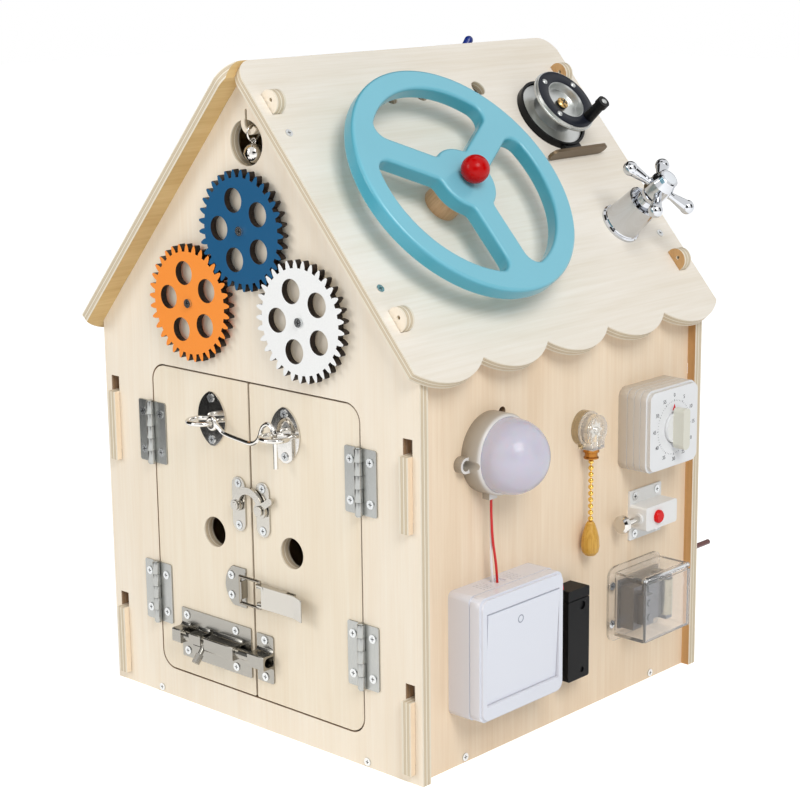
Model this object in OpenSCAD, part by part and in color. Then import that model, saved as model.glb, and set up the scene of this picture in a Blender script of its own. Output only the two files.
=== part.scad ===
// House-shaped wooden busy board with latched double doors, meshed gears,
// a hook and bell, roof toys and a right wall full of switches.
// Origin: middle of the base on the floor. +X right, -Y front gable, +Z up.

/* [House shell] */
// Width across each gable panel
gable_width = 310; // [270:1:360]
// Depth over both gable faces
house_depth = 308; // [270:1:360]
// Plywood thickness of gables, walls, floor and doors
ply = 8; // [6:0.5:10]
// How far a gable stands past the wall face
gable_margin = 6.5; // [4:0.5:12]
// Height of the roof underside at the ridge
apex_height = 455; // [440:1:480]
// Slope of each roof panel
roof_pitch = 49.5; // [47:0.5:52]
// Roof panel thickness
roof_ply = 7; // [5:0.5:9]
// How far the roof stands past the back gable
roof_overhang = 12.5; // [8:0.5:20]
// How far the left and right roof panels stand past the front gable
front_overhang = [16.5, 8.5]; // [4:0.5:20]
// Roof panel from ridge to scallop cusps
roof_run = 244.6; // [235:0.1:260]
// Depth of the scallops
scallop_depth = 12.3; // [8:0.1:16]
// Number of scallops along the eaves
scallop_count = 5; // [4:1:7]
// Radius of the panel corners at the ridge
ridge_corner = 16; // [8:1:24]
// Gap between a side wall's top and the roof
wall_short = 3.1; // [0.5:0.1:8]
// Play between a tenon and its slot
joint_gap = 0.3; // [0.1:0.05:0.6]
// How far the wall hooks stand out of a gable
hook_proud = 4.5; // [3:0.5:8]
// Bottoms of the two wall hooks
hook_low = [14, 179]; // [10:1:200]
// Height of a wall hook's neck
hook_neck = 44; // [36:1:50]
// How far a wall hook hangs below its neck
hook_drop = 7; // [4:0.5:9]
// Open slot above each neck
slot_spare = 11; // [9:0.5:14]

/* [Roof ears] */
// Places of the gable ears down the slope
ear_at = [36, 207]; // [30:1:215]
// Half width of an ear
ear_r = 8.2; // [6:0.1:9]
// Straight part of an ear above the roof
ear_rise = 2; // [0:0.5:4]
// Peg hole in an ear
ear_hole = 1.4; // [1:0.1:2.5]

/* [Doors] */
// Width of the door opening
opening_width = 206; // [190:1:220]
// Bottom of the door opening
opening_low = 21.6; // [18:0.1:24]
// Top of the door opening
opening_high = 250; // [240:0.5:253]
// Corner radius of the opening
opening_r = 13; // [6:1:20]
// Gap round the doors
door_gap = 1.2; // [0.8:0.1:2]
// Gap between the two doors
split_gap = 2; // [1.6:0.1:3]
// Where the doors meet
split_x = -2.6; // [-5:0.1:0]
// Finger hole radius
finger_r = 11; // [9:0.5:13]
// Finger hole height
finger_z = 135.9; // [132:0.1:138]
// Finger hole places in the left and right door
finger_x = [-41.4, 36.3]; // [-60:0.1:60]

/* [Hinges] */
// Heights of the hinges
hinge_z = [79, 199]; // [70:1:205]
// Leaf height
leaf_h = 45; // [38:1:50]
// Leaf width from the pin
leaf_w = 14.2; // [12:0.1:16]
// Leaf thickness
leaf_t = 1.2; // [1:0.1:1.6]
// Knuckle radius
knuckle_r = 2.8; // [2.4:0.1:3.2]
// Hinge pin radius
pin_r = 1.3; // [1:0.1:1.6]
// Screws across and along a leaf
leaf_screw = [9, 14]; // [6:0.5:16]

/* [Fits] */
// Radial running clearance of a shaft
run_gap = 0.06; // [0.03:0.01:0.1]
// Face clearance between moving parts
face_gap = 0.3; // [0.2:0.05:0.5]
// Small screw shank radius
screw_r = 1.3; // [1:0.1:1.6]
// Small screw head radius
screw_head = 3; // [2.4:0.1:3.4]
// Small screw head height
screw_head_h = 0.7; // [0.4:0.1:1]
// Small screw length
screw_len = 7; // [5:0.5:7.5]
// Long screw head radius
long_head = 2.8; // [2.4:0.1:3.6]
// Long screw length
long_len = 16; // [12:1:20]

/* [Cabin hook] */
// Centres of the two eye plates across the doors
eye_x = [-39.5, 33.5]; // [-45:0.5:40]
// Height of the eye plates
eye_z = 218.5; // [215:0.5:221]
// Eye plate half width and half height
eye_plate = [14, 20]; // [12:0.5:22]
// Eye plate thickness
eye_plate_t = 1.4; // [1:0.1:2]
// Eye ring radius to the wire's middle
eye_ring = 10; // [9:0.5:11]
// Eye wire radius
eye_wire = 1.75; // [1.4:0.05:2]
// Hook wire radius
hook_wire = 1.6; // [1.3:0.05:1.8]
// Screws above and below an eye
eye_screw = 14.8; // [13:0.1:16]

/* [Horn latch] */
// Plate centres across the doors
horn_x = [-14.2, 9.8]; // [-18:0.1:12]
// Height of the latch
horn_z = 161.8; // [155:0.1:168]
// Half length and half width of a plate
horn_plate = [19.5, 6.4]; // [5:0.1:22]
// Plate thickness
horn_plate_t = 1.4; // [1:0.1:2]
// Arm thickness
horn_arm_t = 2.4; // [2:0.1:3]
// Arm width
horn_arm_w = 5; // [4:0.1:6]
// Pivot and catch post radius
horn_post_r = 2; // [1.6:0.1:2.3]
// Screws above and below the middle
horn_screw = 15; // [13:0.5:16]

/* [Toggle latch] */
// Pin of the lever and bail across the right door
toggle_x = 8; // [7:0.1:9]
// Middle height of the latch
toggle_z = 101; // [98:0.1:104]
// Pin distance from the door
toggle_stand = 4.4; // [4.2:0.1:5]
// Lever outer width
lever_w = 16; // [14:0.5:18]
// Lever length from the pin
lever_len = 39; // [34:0.5:44]
// Lever sheet thickness
lever_t = 1.2; // [1:0.1:1.5]
// Bail wire radius
bail_r = 1.1; // [0.9:0.05:1.3]
// Bail reach from the pin
bail_reach = 20; // [18:0.5:22]
// Strike plate half height
strike_h = 14.5; // [13:0.5:16]
// Strike plate width
strike_w = 17; // [15:0.5:19]

/* [Barrel bolt] */
// Bolt height
bolt_z = 54; // [50:0.5:58]
// Bolt plate ends
bolt_plate_x = [-79, -6]; // [-82:0.5:-5]
// Bolt plate height
bolt_plate_h = 37; // [34:0.5:40]
// Bolt rod radius
rod_r = 3.6; // [3.2:0.1:5]
// Rod ends
rod_x = [-78, 10]; // [-90:0.5:12]
// Wall of the bolt's guides
arch_wall = 1.4; // [1.2:0.1:2.2]
// Radius of a guide's flared foot
guide_flare = 3; // [1:0.1:4]
// How far the bolt slides
rod_travel = 16; // [12:0.5:16]
// Plate thickness of the bolt
bolt_plate_t = 1.2; // [1:0.1:1.6]
// Handle place along the rod
handle_x = -48; // [-52:0.5:-46]
// Handle length from the rod axis
handle_len = 17; // [14:0.5:20]
// Keeper plate ends
keeper_x = [0, 16.5]; // [0:0.5:18]
// Keeper plate height
keeper_h = 35; // [30:0.5:38]

/* [Gears] */
// Teeth on each gear
gear_teeth = 33; // [30:1:36]
// Gear module
gear_module = 2.34; // [2.2:0.01:2.4]
// Gear thickness
gear_t = 5; // [4:0.1:6]
// Blue gear centre
gear_top = [1.8, 354.2]; // [0:0.1:356]
// Slope from the top gear to each lower gear
gear_slope = 45.4; // [44:0.1:47]
// Holes in each gear
gear_holes = 5; // [4:1:6]
// Gear hole radius
gear_hole_r = 8.3; // [7:0.1:8.6]
// Gear hole circle radius
gear_hole_at = 21; // [19:0.1:22]
// First hole angle of the blue, orange and white gear
gear_hole_turn = [36, 30, 39]; // [0:1:72]
// Gear pin radius
gear_pin_r = 2; // [1.6:0.1:2.4]
// Spacer behind each gear
gear_spacer = 2; // [1.5:0.1:3]

/* [Bell] */
// Bell window centre
bell_window = [2.5, 412]; // [0:0.1:414]
// Bell window radius
bell_window_r = 15.5; // [14.6:0.1:16]
// Bell radius
bell_r = 6.8; // [6:0.1:6.9]
// Bell shell thickness
bell_wall = 0.8; // [0.6:0.1:1]
// Bell ring radius to the wire's middle
bell_ring = 5.4; // [5.3:0.1:5.6]
// Bell ring wire radius
bell_wire = 0.8; // [0.6:0.05:0.9]

/* [Steering wheel] */
// Wheel centre down the slope and along the roof
wheel_at = [130, -54]; // [-60:1:134]
// Wheel radius
wheel_r = 90; // [84:1:94]
// Rim width
rim_w = 16; // [12:0.5:20]
// Wheel thickness
wheel_t = 12; // [9:0.5:14]
// Hub radius
hub_r = 24.5; // [20:0.5:28]
// Spoke width
spoke_w = 20; // [14:0.5:24]
// Rounding of the wheel's edges
rim_round = 2.5; // [1.5:0.1:3.5]
// Fillet where a spoke meets the rim
spoke_fillet = 9; // [6:0.5:12]
// Wheel and reel axle radius
axle_r = 3; // [2.5:0.1:3.5]
// Post radius
post_r = 12.8; // [11:0.1:15]
// Post height
post_h = 19.5; // [16:0.5:24]
// Ball radius
ball_r = 9.7; // [8:0.1:11]

/* [Reel] */
// Reel centre down the slope and along the roof
reel_at = [71.5, 109]; // [60:0.5:115]
// Back ring radius
reel_back_r = 29; // [27:0.5:31]
// Spool flange radius
reel_spool_r = 26.5; // [25:0.5:28]
// Cup radius in the face
reel_cup_r = 15.5; // [13:0.5:17]
// Reel height over the roof
reel_h = 21; // [19:0.5:26]
// Reel knob place from the axis
reel_knob_at = 21; // [20:0.1:22]
// Reel knob length
reel_knob_h = 19; // [15:0.5:22]
// Reel foot length
reel_foot = 64; // [54:1:72]

/* [Tap] */
// Tap centre down the slope and along the roof
tap_at = [169, 113]; // [105:0.5:175]
// Flange radius
tap_flange_r = 16.2; // [15:0.1:18]
// Sleeve base radius
tap_sleeve_r = 14.4; // [13:0.1:15]
// Sleeve height
tap_sleeve_h = 28; // [24:0.5:32]
// Arm length from the axis
tap_arm = 27; // [24:0.5:30]
// Arm height over the roof
tap_arm_h = 44.5; // [42:0.5:50]

/* [Wall lamp] */
// Lamp centre along and up the wall
lamp_at = [-80, 212]; // [-85:0.5:215]
// Lamp base radius
lamp_r = 27.5; // [25:0.5:30]
// Lamp base depth
lamp_base_h = 15; // [12:0.5:17]
// Dome radius
dome_r = 25.3; // [23:0.1:26]
// Straight collar of the dome
dome_skirt = 6.5; // [3:0.5:9]
// Height of the round part of the dome
dome_h = 24; // [18:0.5:26]
// Height of the screw ears
lamp_ear_h = 6.5; // [5:0.5:8]

/* [Wall switch] */
// Switch side length
switch_w = 86; // [80:0.5:92]
// Left edge and bottom of the switch
switch_at = [-121.1, 39]; // [-124:0.1:42]
// Back box depth
switch_box_h = 18.5; // [15:0.5:22]
// Frame depth
switch_frame_h = 10.5; // [8:0.5:12]
// Rocker width and height
rocker = [74, 63]; // [56:0.5:76]
// Rest tilt of the rocker
rocker_tilt = 3; // [2:0.5:4]

/* [Battery box] */
// Box centre along the wall and its bottom
battery_at = [-2, 34]; // [-6:0.5:38]
// Box width, height and depth
battery_size = [23.5, 66.5, 16]; // [14:0.5:70]

/* [Pull switch] */
// Pull switch centre along and up the wall
pull_at = [20.5, 209]; // [16:0.5:212]
// Radii of the clear back and front discs
pull_discs = [12.6, 10.8]; // [9:0.1:14]
// Depths of the two discs
pull_depth = [7, 7.5]; // [5:0.5:9]
// Drop from the centre to the neck's end
pull_drop = 13.5; // [12:0.5:15]
// How far the chain pulls out
pull_travel = 5; // [3:0.5:6]
// Number of beads
bead_count = 10; // [8:1:12]
// Bead radius
bead_r = 1.9; // [1.6:0.1:2.1]
// Bead pitch
bead_pitch = 4.6; // [4.3:0.1:5]
// Pendant height
pendant_h = 25; // [22:0.5:30]
// Pendant radius
pendant_r = 6.6; // [5.5:0.1:7.5]

/* [Timer] */
// Timer centre along and up the wall
timer_at = [92, 200]; // [88:0.5:204]
// Timer side length
timer_w = 60; // [56:0.5:64]
// Timer depth
timer_h = 27; // [23:0.5:30]
// Knob bar length
timer_bar = 30; // [26:0.5:34]

/* [Push latch] */
// Latch plate centre along and up the wall
latch_at = [94.2, 132.5]; // [90:0.1:136]
// Plate width and height
latch_plate = [38.5, 37]; // [34:0.5:42]
// Housing height and depth
latch_housing = [17.5, 16.5]; // [15:0.5:20]
// Latch rod radius
latch_rod_r = 2.3; // [2:0.1:2.5]
// Rod reach outside the housing
latch_reach = 18; // [15:0.5:21]
// How far the rod pushes in
latch_travel = 9; // [6:0.5:10]
// Knob radius
latch_knob_r = 6.5; // [5.5:0.1:7.5]
// Button radius
button_r = 4.8; // [4:0.1:5.2]
// How far the button presses in
button_travel = 1.5; // [1:0.1:1.6]

/* [Music box] */
// Case start along the wall and its bottom
music_at = [58, 46.5]; // [44:0.5:62]
// Case width, height and depth
music_size = [54, 48, 29.5]; // [26:0.5:58]
// Clear wall thickness
music_wall = 2; // [1.5:0.1:2.2]
// Fixing flange width beside and above the case
music_flange = [7, 4]; // [3:0.5:9]
// Lid pin radius
lid_pin_r = 0.9; // [0.7:0.1:1]
// Pin drum radius
drum_r = 5.2; // [4:0.1:5.5]
// Number of comb teeth
comb_teeth = 16; // [12:1:18]

/* [Dowels and leads] */
// Round holes in the right roof down the slope
roof_hole_s = 40; // [38:0.5:44]
// Roof hole radius
roof_hole_r = 6; // [5:0.1:7]
// First roof hole and pitch along the roof
roof_hole_y = [-40, 31]; // [-44:1:34]
// Blue dowel radius
blue_r = 3.3; // [2.8:0.1:3.8]
// Blue dowel length
blue_len = 45; // [42:1:55]
// Lean of the blue dowel
blue_lean = 37; // [30:1:40]
// Round end of the blue dowel, measured from the ridge's top
blue_tip = [-22, 98, 0]; // [-25:1:100]
// Back dowel radius
dowel_r = 2; // [1.6:0.1:2.4]
// Back dowel across and up the back gable
dowel_at = [140, 84.4]; // [70:0.1:142]
// How far the back dowel stands out
dowel_out = 36.7; // [30:0.1:45]
// Radius of the lamp and battery leads
lead_r = 0.9; // [0.7:0.05:0.95]

/* [Hidden] */
$fn = 48;
yf = house_depth / 2;
xw = gable_width / 2 - gable_margin;
roof_top = apex_height + roof_ply / cos(roof_pitch);
roof_half = yf + roof_overhang;
wall_height = apex_height - xw * tan(roof_pitch) - wall_short;
blue_end = [blue_tip[0], blue_tip[1], roof_top + blue_tip[2]];
hinge_x = opening_width / 2 + 0.4;
hinge_out = knuckle_r + 0.15;

// ---------- frames of reference ----------
module front(x, z, d = 0) translate([x, -yf - d, z]) rotate([90, 0, 0]) children();
module back(x, z, d = 0) translate([x, yf + d, z]) rotate([90, 0, 180]) children();
module wall(y, z, d = 0) translate([xw + d, y, z]) rotate([90, 0, 90]) children();
module slope(s, y, h = 0) translate([0, 0, roof_top]) rotate([0, roof_pitch, 0])
  translate([s, y, h]) children();
module at(list) for (p = list) translate(p) children();

// ---------- small helpers ----------
function unit(v) = v / norm(v);
function carry(t, u0, i = 0, acc = []) = i == len(t) ? acc :
  let (u = i == 0 ? u0 : acc[i - 1]) carry(t, u0, i + 1,
    concat(acc, [unit(u - (u * t[i]) * t[i])]));
// smooth points through a list, k steps in each span
function smooth(p, k) = concat([for (i = [0:len(p) - 2], j = [0:k - 1])
  let (a = p[max(i - 1, 0)], b = p[i], c = p[i + 1], d = p[min(i + 2, len(p) - 1)], u = j / k)
  0.5 * (2 * b + (c - a) * u + (2 * a - 5 * b + 4 * c - d) * u * u
    + (3 * b - a - 3 * c + d) * u * u * u)], [p[len(p) - 1]]);
// tube along points p; the end faces are square to the directions in ends
module tube(p, r, up = [0, 1, 0], n = 8, ends = []) {
  m = len(p);
  t = [for (i = [0:m - 1]) len(ends) == 2 && i == 0 ? ends[0] : len(ends) == 2 && i == m - 1 ? ends[1]
    : unit(p[min(i + 1, m - 1)] - p[max(i - 1, 0)])];
  u = carry(t, up);
  polyhedron([for (i = [0:m - 1], k = [0:n - 1])
      p[i] + r * (cos(k * 360 / n) * u[i] + sin(k * 360 / n) * cross(t[i], u[i]))],
    concat([[for (k = [0:n - 1]) k]],
      [for (i = [0:m - 2], k = [0:n - 1])
        [i * n + k, (i + 1) * n + k, (i + 1) * n + (k + 1) % n, i * n + (k + 1) % n]],
      [[for (k = [n - 1:-1:0]) (m - 1) * n + k]]));
}
module corner(x, y, sx, sy, r) if (r > 0) translate([x, y]) scale_sign(sx, sy)
  difference() {
    translate([-1, -1]) square(r + 1);
    translate([r, r]) circle(r);
  }
module scale_sign(sx, sy) mirror([sx < 0 ? 1 : 0, 0]) mirror([0, sy < 0 ? 1 : 0]) children();
// rectangle with radii at lower left, lower right, upper right, upper left
module plate2(x0, y0, x1, y1, r) difference() {
  translate([x0, y0]) square([x1 - x0, y1 - y0]);
  corner(x0, y0, 1, 1, r[0]);
  corner(x1, y0, -1, 1, r[1]);
  corner(x1, y1, -1, -1, r[2]);
  corner(x0, y1, 1, -1, r[3]);
}
module capsule2(a, b, r) {
  translate(a) circle(r);
  translate(b) circle(r);
  translate(a) rotate(atan2(b[1] - a[1], b[0] - a[0])) translate([0, -r])
    square([norm(b - a), 2 * r]);
}
module dots(list, r) at(list) circle(r);
// round head with a cross recess
module cross_head(r, h, cut = 0.35) difference() {
  cylinder(r = r, h = h);
  translate([0, 0, h - cut]) for (a = [0, 90]) rotate(a)
    translate([-0.5 * r, -0.1 * r, 0]) cube([r, 0.2 * r, 1]);
}
module screw(t = 0) {
  translate([0, 0, t]) cross_head(screw_head, screw_head_h);
  translate([0, 0, t - screw_len]) cylinder(r = screw_r, h = screw_len);
}
hole_r = screw_r + 0.05;

// ---------- fixing places ----------
function leaf_sites(side, on_door) = [for (z = hinge_z, k = [-1, 1])
  [side * (hinge_x + (on_door ? -1 : 1) * leaf_screw[0]), z + k * leaf_screw[1]]];
eye_sites = [for (k = [-1, 1]) [0, k * eye_screw]];
horn_sites = [for (k = [-1, 1]) [0, k * horn_screw]];
strike_x = toggle_x - bail_reach - strike_w / 2 - 1.6;
strike_sites = [for (k = [-1, 1]) [strike_x - 2, toggle_z + k * strike_h / 2]];
toggle_base_x = [toggle_x + 5, toggle_x + 31];
toggle_sites = [for (x = [9, 26]) [toggle_x + x, toggle_z]];
bolt_sites = [for (x = [bolt_plate_x[0] + 6, bolt_plate_x[1] - 15.5], k = [-1, 1])
  [x, bolt_z + k * (bolt_plate_h / 2 - 5)]];
keeper_sites = [for (k = [-1, 1]) [(keeper_x[0] + keeper_x[1]) / 2, bolt_z + k * (keeper_h / 2 - 4)]];
left_sites = concat(leaf_sites(-1, true), [for (p = eye_sites) p + [eye_x[0], eye_z]],
  [for (p = horn_sites) p + [horn_x[0], horn_z]], strike_sites, bolt_sites);
right_sites = concat(leaf_sites(1, true), [for (p = eye_sites) p + [eye_x[1], eye_z]],
  [for (p = horn_sites) p + [horn_x[1], horn_z]], toggle_sites, keeper_sites);
frame_sites = concat(leaf_sites(-1, false), leaf_sites(1, false));
lamp_ear = lamp_r + 2;
lamp_sites = [for (k = [-1, 1]) lamp_at + [k * lamp_ear, -3]];
latch_sites = [for (a = [-1, 1], b = [-1, 1]) latch_at + [a * (latch_plate[0] / 2 - 6),
  b * (latch_plate[1] / 2 - 4.5)]];
music_sites = [for (k = [0.2, 0.8]) [music_at[0] - music_flange[0] / 2, music_at[1] + k * music_size[1]]];
wall_sites = concat(lamp_sites, latch_sites, music_sites);
wall_hole_r = 3.5;
base_x = gable_width / 2 - 50;
gear_angle = [0, 180 + gear_slope, -gear_slope];
gear_dist = gear_teeth * gear_module;
gear_c = [gear_top, gear_top + gear_dist * [cos(gear_angle[1]), sin(gear_angle[1])],
  gear_top + gear_dist * [cos(gear_angle[2]), sin(gear_angle[2])]];
roof_screw_in = 6;
roof_screws = [for (s = [60, 182.5], k = [-1, 1]) [s, k * (yf - ply / 2)]];

// ---------- shell ----------
module gable2(windowed) difference() {
  union() {
    polygon([[-gable_width / 2, 0], [gable_width / 2, 0],
      [gable_width / 2, apex_height - gable_width / 2 * tan(roof_pitch)], [0, apex_height],
      [-gable_width / 2, apex_height - gable_width / 2 * tan(roof_pitch)]]);
    for (m = [0, 1]) mirror([m, 0]) translate([0, roof_top]) rotate(-roof_pitch)
      for (s = ear_at) translate([s, 0]) {
        translate([-ear_r, -roof_ply - 1]) square([2 * ear_r, roof_ply + 1 + ear_rise]);
        translate([0, ear_rise]) circle(ear_r);
      }
  }
  for (m = [0, 1]) mirror([m, 0]) {
    for (z = hook_low) translate([xw - ply - joint_gap / 2, z - joint_gap])
      square([ply + joint_gap, hook_neck + slot_spare + joint_gap]);
    translate([0, roof_top]) rotate(-roof_pitch) {
      for (s = ear_at) translate([s, ear_rise + 2.5]) circle(ear_hole);
    }
  }
  dots([for (m = [-1, 1]) [m * base_x, ply / 2]], hole_r);
  if (windowed) front_holes();
}
module front_holes() {
  plate2(-opening_width / 2, opening_low, opening_width / 2, opening_high,
    [opening_r, opening_r, opening_r, opening_r]);
  dots(frame_sites, hole_r);
  dots(gear_c, gear_pin_r);
  difference() {
    union() {
      translate(bell_window) circle(bell_window_r);
      capsule2(bell_window + [0.4, 8], bell_window + [0.4, 21.5], 1);
    }
    tongue2();
  }
}
tongue_c = bell_window + [3.1, 13];
tongue_in = 4.2;
tongue_w = 3.4;
module tongue2() {
  r = tongue_in + tongue_w;
  translate(tongue_c) difference() {
    union() {
      circle(r);
      translate([-r, 0]) square([r, 6]);
    }
    circle(tongue_in);
    polygon([[-tongue_in, 0], [0, 0], [20, -9], [20, 20], [-tongue_in, 20]]);
  }
}
module roof_screw_holes() for (m = [0, 1]) mirror([m, 0, 0]) for (p = roof_screws)
  slope(p[0], p[1], -roof_ply - roof_screw_in - 0.3) cylinder(r = hole_r, h = roof_ply + roof_screw_in);
module front_gable() color("BurlyWood") difference() {
  front(0, 0, -ply) linear_extrude(ply) gable2(true);
  roof_screw_holes();
}
module back_gable() color("BurlyWood") difference() {
  back(0, 0, -ply) linear_extrude(ply) gable2(false);
  roof_screw_holes();
  back(dowel_at[0], dowel_at[1], -ply / 2) cylinder(r = dowel_r + 0.05, h = ply);
}
module side2() difference() {
  union() {
    translate([-yf + ply, 0]) square([house_depth - 2 * ply, wall_height]);
    for (z = hook_low) translate([-yf - hook_proud, z - hook_drop])
      square([house_depth + 2 * hook_proud, hook_neck + hook_drop]);
  }
  for (z = hook_low, m = [0, 1]) mirror([m, 0]) translate([yf - ply, z - hook_drop])
    square([ply + joint_gap, hook_drop]);
  for (m = [0, 1]) mirror([m, 0]) for (p = [-1, 1]) translate([base_x, ply / 2]) circle(hole_r);
}
module right_wall() color("BurlyWood") wall(0, 0, -ply) linear_extrude(ply) difference() {
  side2();
  dots(wall_sites, hole_r);
  translate(lamp_at + (lamp_r + 0.5) * [sin(30), cos(30)]) circle(wall_hole_r);
}
module left_wall() color("BurlyWood") mirror([1, 0, 0]) wall(0, 0, -ply) linear_extrude(ply) side2();
module floor_panel() color("BurlyWood") difference() {
  translate([-xw + ply, -yf + ply, 0]) cube([2 * (xw - ply), house_depth - 2 * ply, ply]);
  for (m = [-1, 1], k = [-1, 1]) {
    translate([m * base_x, k * (yf - ply), ply / 2]) rotate([90, 0, 0])
      cylinder(r = hole_r, h = 20, center = true);
    translate([m * (xw - ply), k * base_x, ply / 2]) rotate([0, 90, 0])
      cylinder(r = hole_r, h = 20, center = true);
  }
}
module roof2(s0, front_end) intersection() {
  y0 = -yf - front_end;
  p = (roof_half - y0) / scallop_count;
  r = (pow(p / 2, 2) + pow(scallop_depth, 2)) / (2 * scallop_depth);
  difference() {
    union() {
      translate([s0, y0]) square([roof_run - s0, roof_half - y0]);
      for (i = [0:scallop_count - 1])
        translate([roof_run + scallop_depth - r, y0 + (i + 0.5) * p]) circle(r, $fn = 96);
    }
    corner(s0, y0, 1, 1, ridge_corner);
    corner(s0, roof_half, 1, -1, ridge_corner);
    for (s = ear_at, k = [-1, 1]) translate([s, k * (yf - ply / 2)])
      square([2 * (ear_r + joint_gap), ply + 2 * joint_gap], center = true);
    dots(roof_screws, hole_r);
  }
  translate([s0, y0]) square([roof_run + 2 * scallop_depth, roof_half - y0]);
}
// Both panels end in the middle plane of the ridge
ridge_reach = 4 * roof_ply;
module ridge_cut() translate([-ridge_reach, -house_depth, apex_height - ridge_reach])
  cube([ridge_reach + 0.1, 2 * house_depth, 2 * ridge_reach]);
module roof_right() color("Wheat") difference() {
  slope(0, 0, -roof_ply) linear_extrude(roof_ply) difference() {
    roof2(0.2, front_overhang[1]);
    for (i = [0:3]) translate([roof_hole_s, roof_hole_y[0] + i * roof_hole_y[1]]) circle(roof_hole_r);
    for (p = [wheel_at, reel_at]) translate(p) circle(axle_r + 0.05);
    translate(tap_at) circle(tap_stem_r + 0.05);
  }
  ridge_cut();
}
module roof_left() color("Wheat") difference() {
  mirror([1, 0, 0]) difference() {
    slope(0, 0, -roof_ply) linear_extrude(roof_ply) roof2(0.2, front_overhang[0]);
    ridge_cut();
  }
  blue_shaft(blue_r + 0.05, blue_len + 20);
}
module blue_shaft(r, len) translate(blue_end) rotate([-blue_lean, 0, 0]) translate([0, 0, -len])
  cylinder(r = r, h = len);
module fixings_house() color("Silver") {
  for (m = [-1, 1]) {
    front(m * base_x, ply / 2) long_screw();
    back(m * base_x, ply / 2) long_screw();
    for (k = [0, 1]) mirror([k, 0, 0]) wall(m * base_x, ply / 2) long_screw();
  }
  for (k = [0, 1]) mirror([k, 0, 0]) for (p = roof_screws) slope(p[0], p[1]) {
    cross_head(long_head, 0.8);
    translate([0, 0, -roof_ply - roof_screw_in]) cylinder(r = screw_r, h = roof_ply + roof_screw_in);
  }
  for (p = frame_sites) front(p[0], p[1]) screw(leaf_t);
  for (p = lamp_sites) wall(p[0], p[1]) screw(lamp_foot_t);
  for (p = latch_sites) wall(p[0], p[1]) screw(latch_plate_t);
  for (p = music_sites) wall(p[0], p[1]) screw(music_wall);
  wall(music_at[0], music_at[1]) lid_pin(lid_pin_r, 1.5);
}
module long_screw() {
  cross_head(long_head, 0.8);
  translate([0, 0, -long_len]) cylinder(r = screw_r, h = long_len);
}

// ---------- doors and hinges ----------
module left_door() color("Tan") front(0, 0, -ply) linear_extrude(ply) difference() {
  plate2(-opening_width / 2 + door_gap, opening_low + door_gap, split_x - split_gap / 2,
    opening_high - door_gap, [opening_r - door_gap, 1, 1, opening_r - door_gap]);
  translate([finger_x[0], finger_z]) circle(finger_r);
  dots(left_sites, hole_r);
}
module right_door() color("Tan") front(0, 0, -ply) linear_extrude(ply) difference() {
  plate2(split_x + split_gap / 2, opening_low + door_gap, opening_width / 2 - door_gap,
    opening_high - door_gap, [1, opening_r - door_gap, opening_r - door_gap, 1]);
  translate([finger_x[1], finger_z]) circle(finger_r);
  dots(right_sites, hole_r);
}
seg = leaf_h / 5;
module knuckles(list, r, grow) for (i = list)
  translate([0, -leaf_h / 2 + i * seg + grow, hinge_out]) rotate([-90, 0, 0])
    cylinder(r = r, h = seg - 2 * grow);
module leaf(dir, own, other, bore) difference() {
  union() {
    linear_extrude(leaf_t) difference() {
      plate2(dir > 0 ? 0 : -leaf_w, -leaf_h / 2, dir > 0 ? leaf_w : 0, leaf_h / 2,
        dir > 0 ? [0, 1.5, 1.5, 0] : [1.5, 0, 0, 1.5]);
      dots([for (k = [-1, 1]) [dir * leaf_screw[0], k * leaf_screw[1]]], hole_r);
    }
    knuckles(own, knuckle_r, 0.1);
  }
  knuckles(other, knuckle_r + 0.3, -0.1);
  translate([0, -leaf_h, hinge_out]) rotate([-90, 0, 0]) cylinder(r = bore, h = 2 * leaf_h);
}
module hinge_leaves_frame() color("Silver") for (s = [-1, 1], z = hinge_z)
  front(s * hinge_x, z) {
    leaf(s, [0, 2, 4], [1, 3], pin_r + 0.03);
    hinge_pin();
  }
module hinge_leaves_left() color("LightGrey") for (z = hinge_z)
  front(-hinge_x, z) leaf(1, [1, 3], [0, 2, 4], pin_r + run_gap);
module hinge_leaves_right() color("LightGrey") for (z = hinge_z)
  front(hinge_x, z) leaf(-1, [1, 3], [0, 2, 4], pin_r + run_gap);
module hinge_pin() translate([0, -leaf_h / 2 - 0.9, hinge_out]) rotate([-90, 0, 0]) {
  cylinder(r = pin_r, h = leaf_h + 1.8);
  cylinder(r = pin_r + 0.8, h = 0.85);
  translate([0, 0, leaf_h + 0.95]) cylinder(r = pin_r + 0.8, h = 0.85);
}
module fixings_left() color("Silver") {
  for (p = leaf_sites(-1, true)) front(p[0], p[1]) screw(leaf_t);
  for (p = eye_sites) front(eye_x[0] + p[0], eye_z + p[1]) screw(eye_plate_t);
  for (p = horn_sites) front(horn_x[0] + p[0], horn_z + p[1]) screw(horn_plate_t - 0.3);
  for (p = strike_sites) front(p[0], p[1]) screw(lever_t);
  for (p = bolt_sites) front(p[0], p[1]) screw(bolt_plate_t);
}
module fixings_right() color("Silver") {
  for (p = leaf_sites(1, true)) front(p[0], p[1]) screw(leaf_t);
  for (p = eye_sites) front(eye_x[1] + p[0], eye_z + p[1]) screw(eye_plate_t);
  for (p = horn_sites) front(horn_x[1] + p[0], horn_z + p[1]) screw(horn_plate_t - 0.3);
  for (p = toggle_sites) front(p[0], p[1]) screw(lever_t);
  for (p = keeper_sites) front(p[0], p[1]) screw(bolt_plate_t);
}

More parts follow.
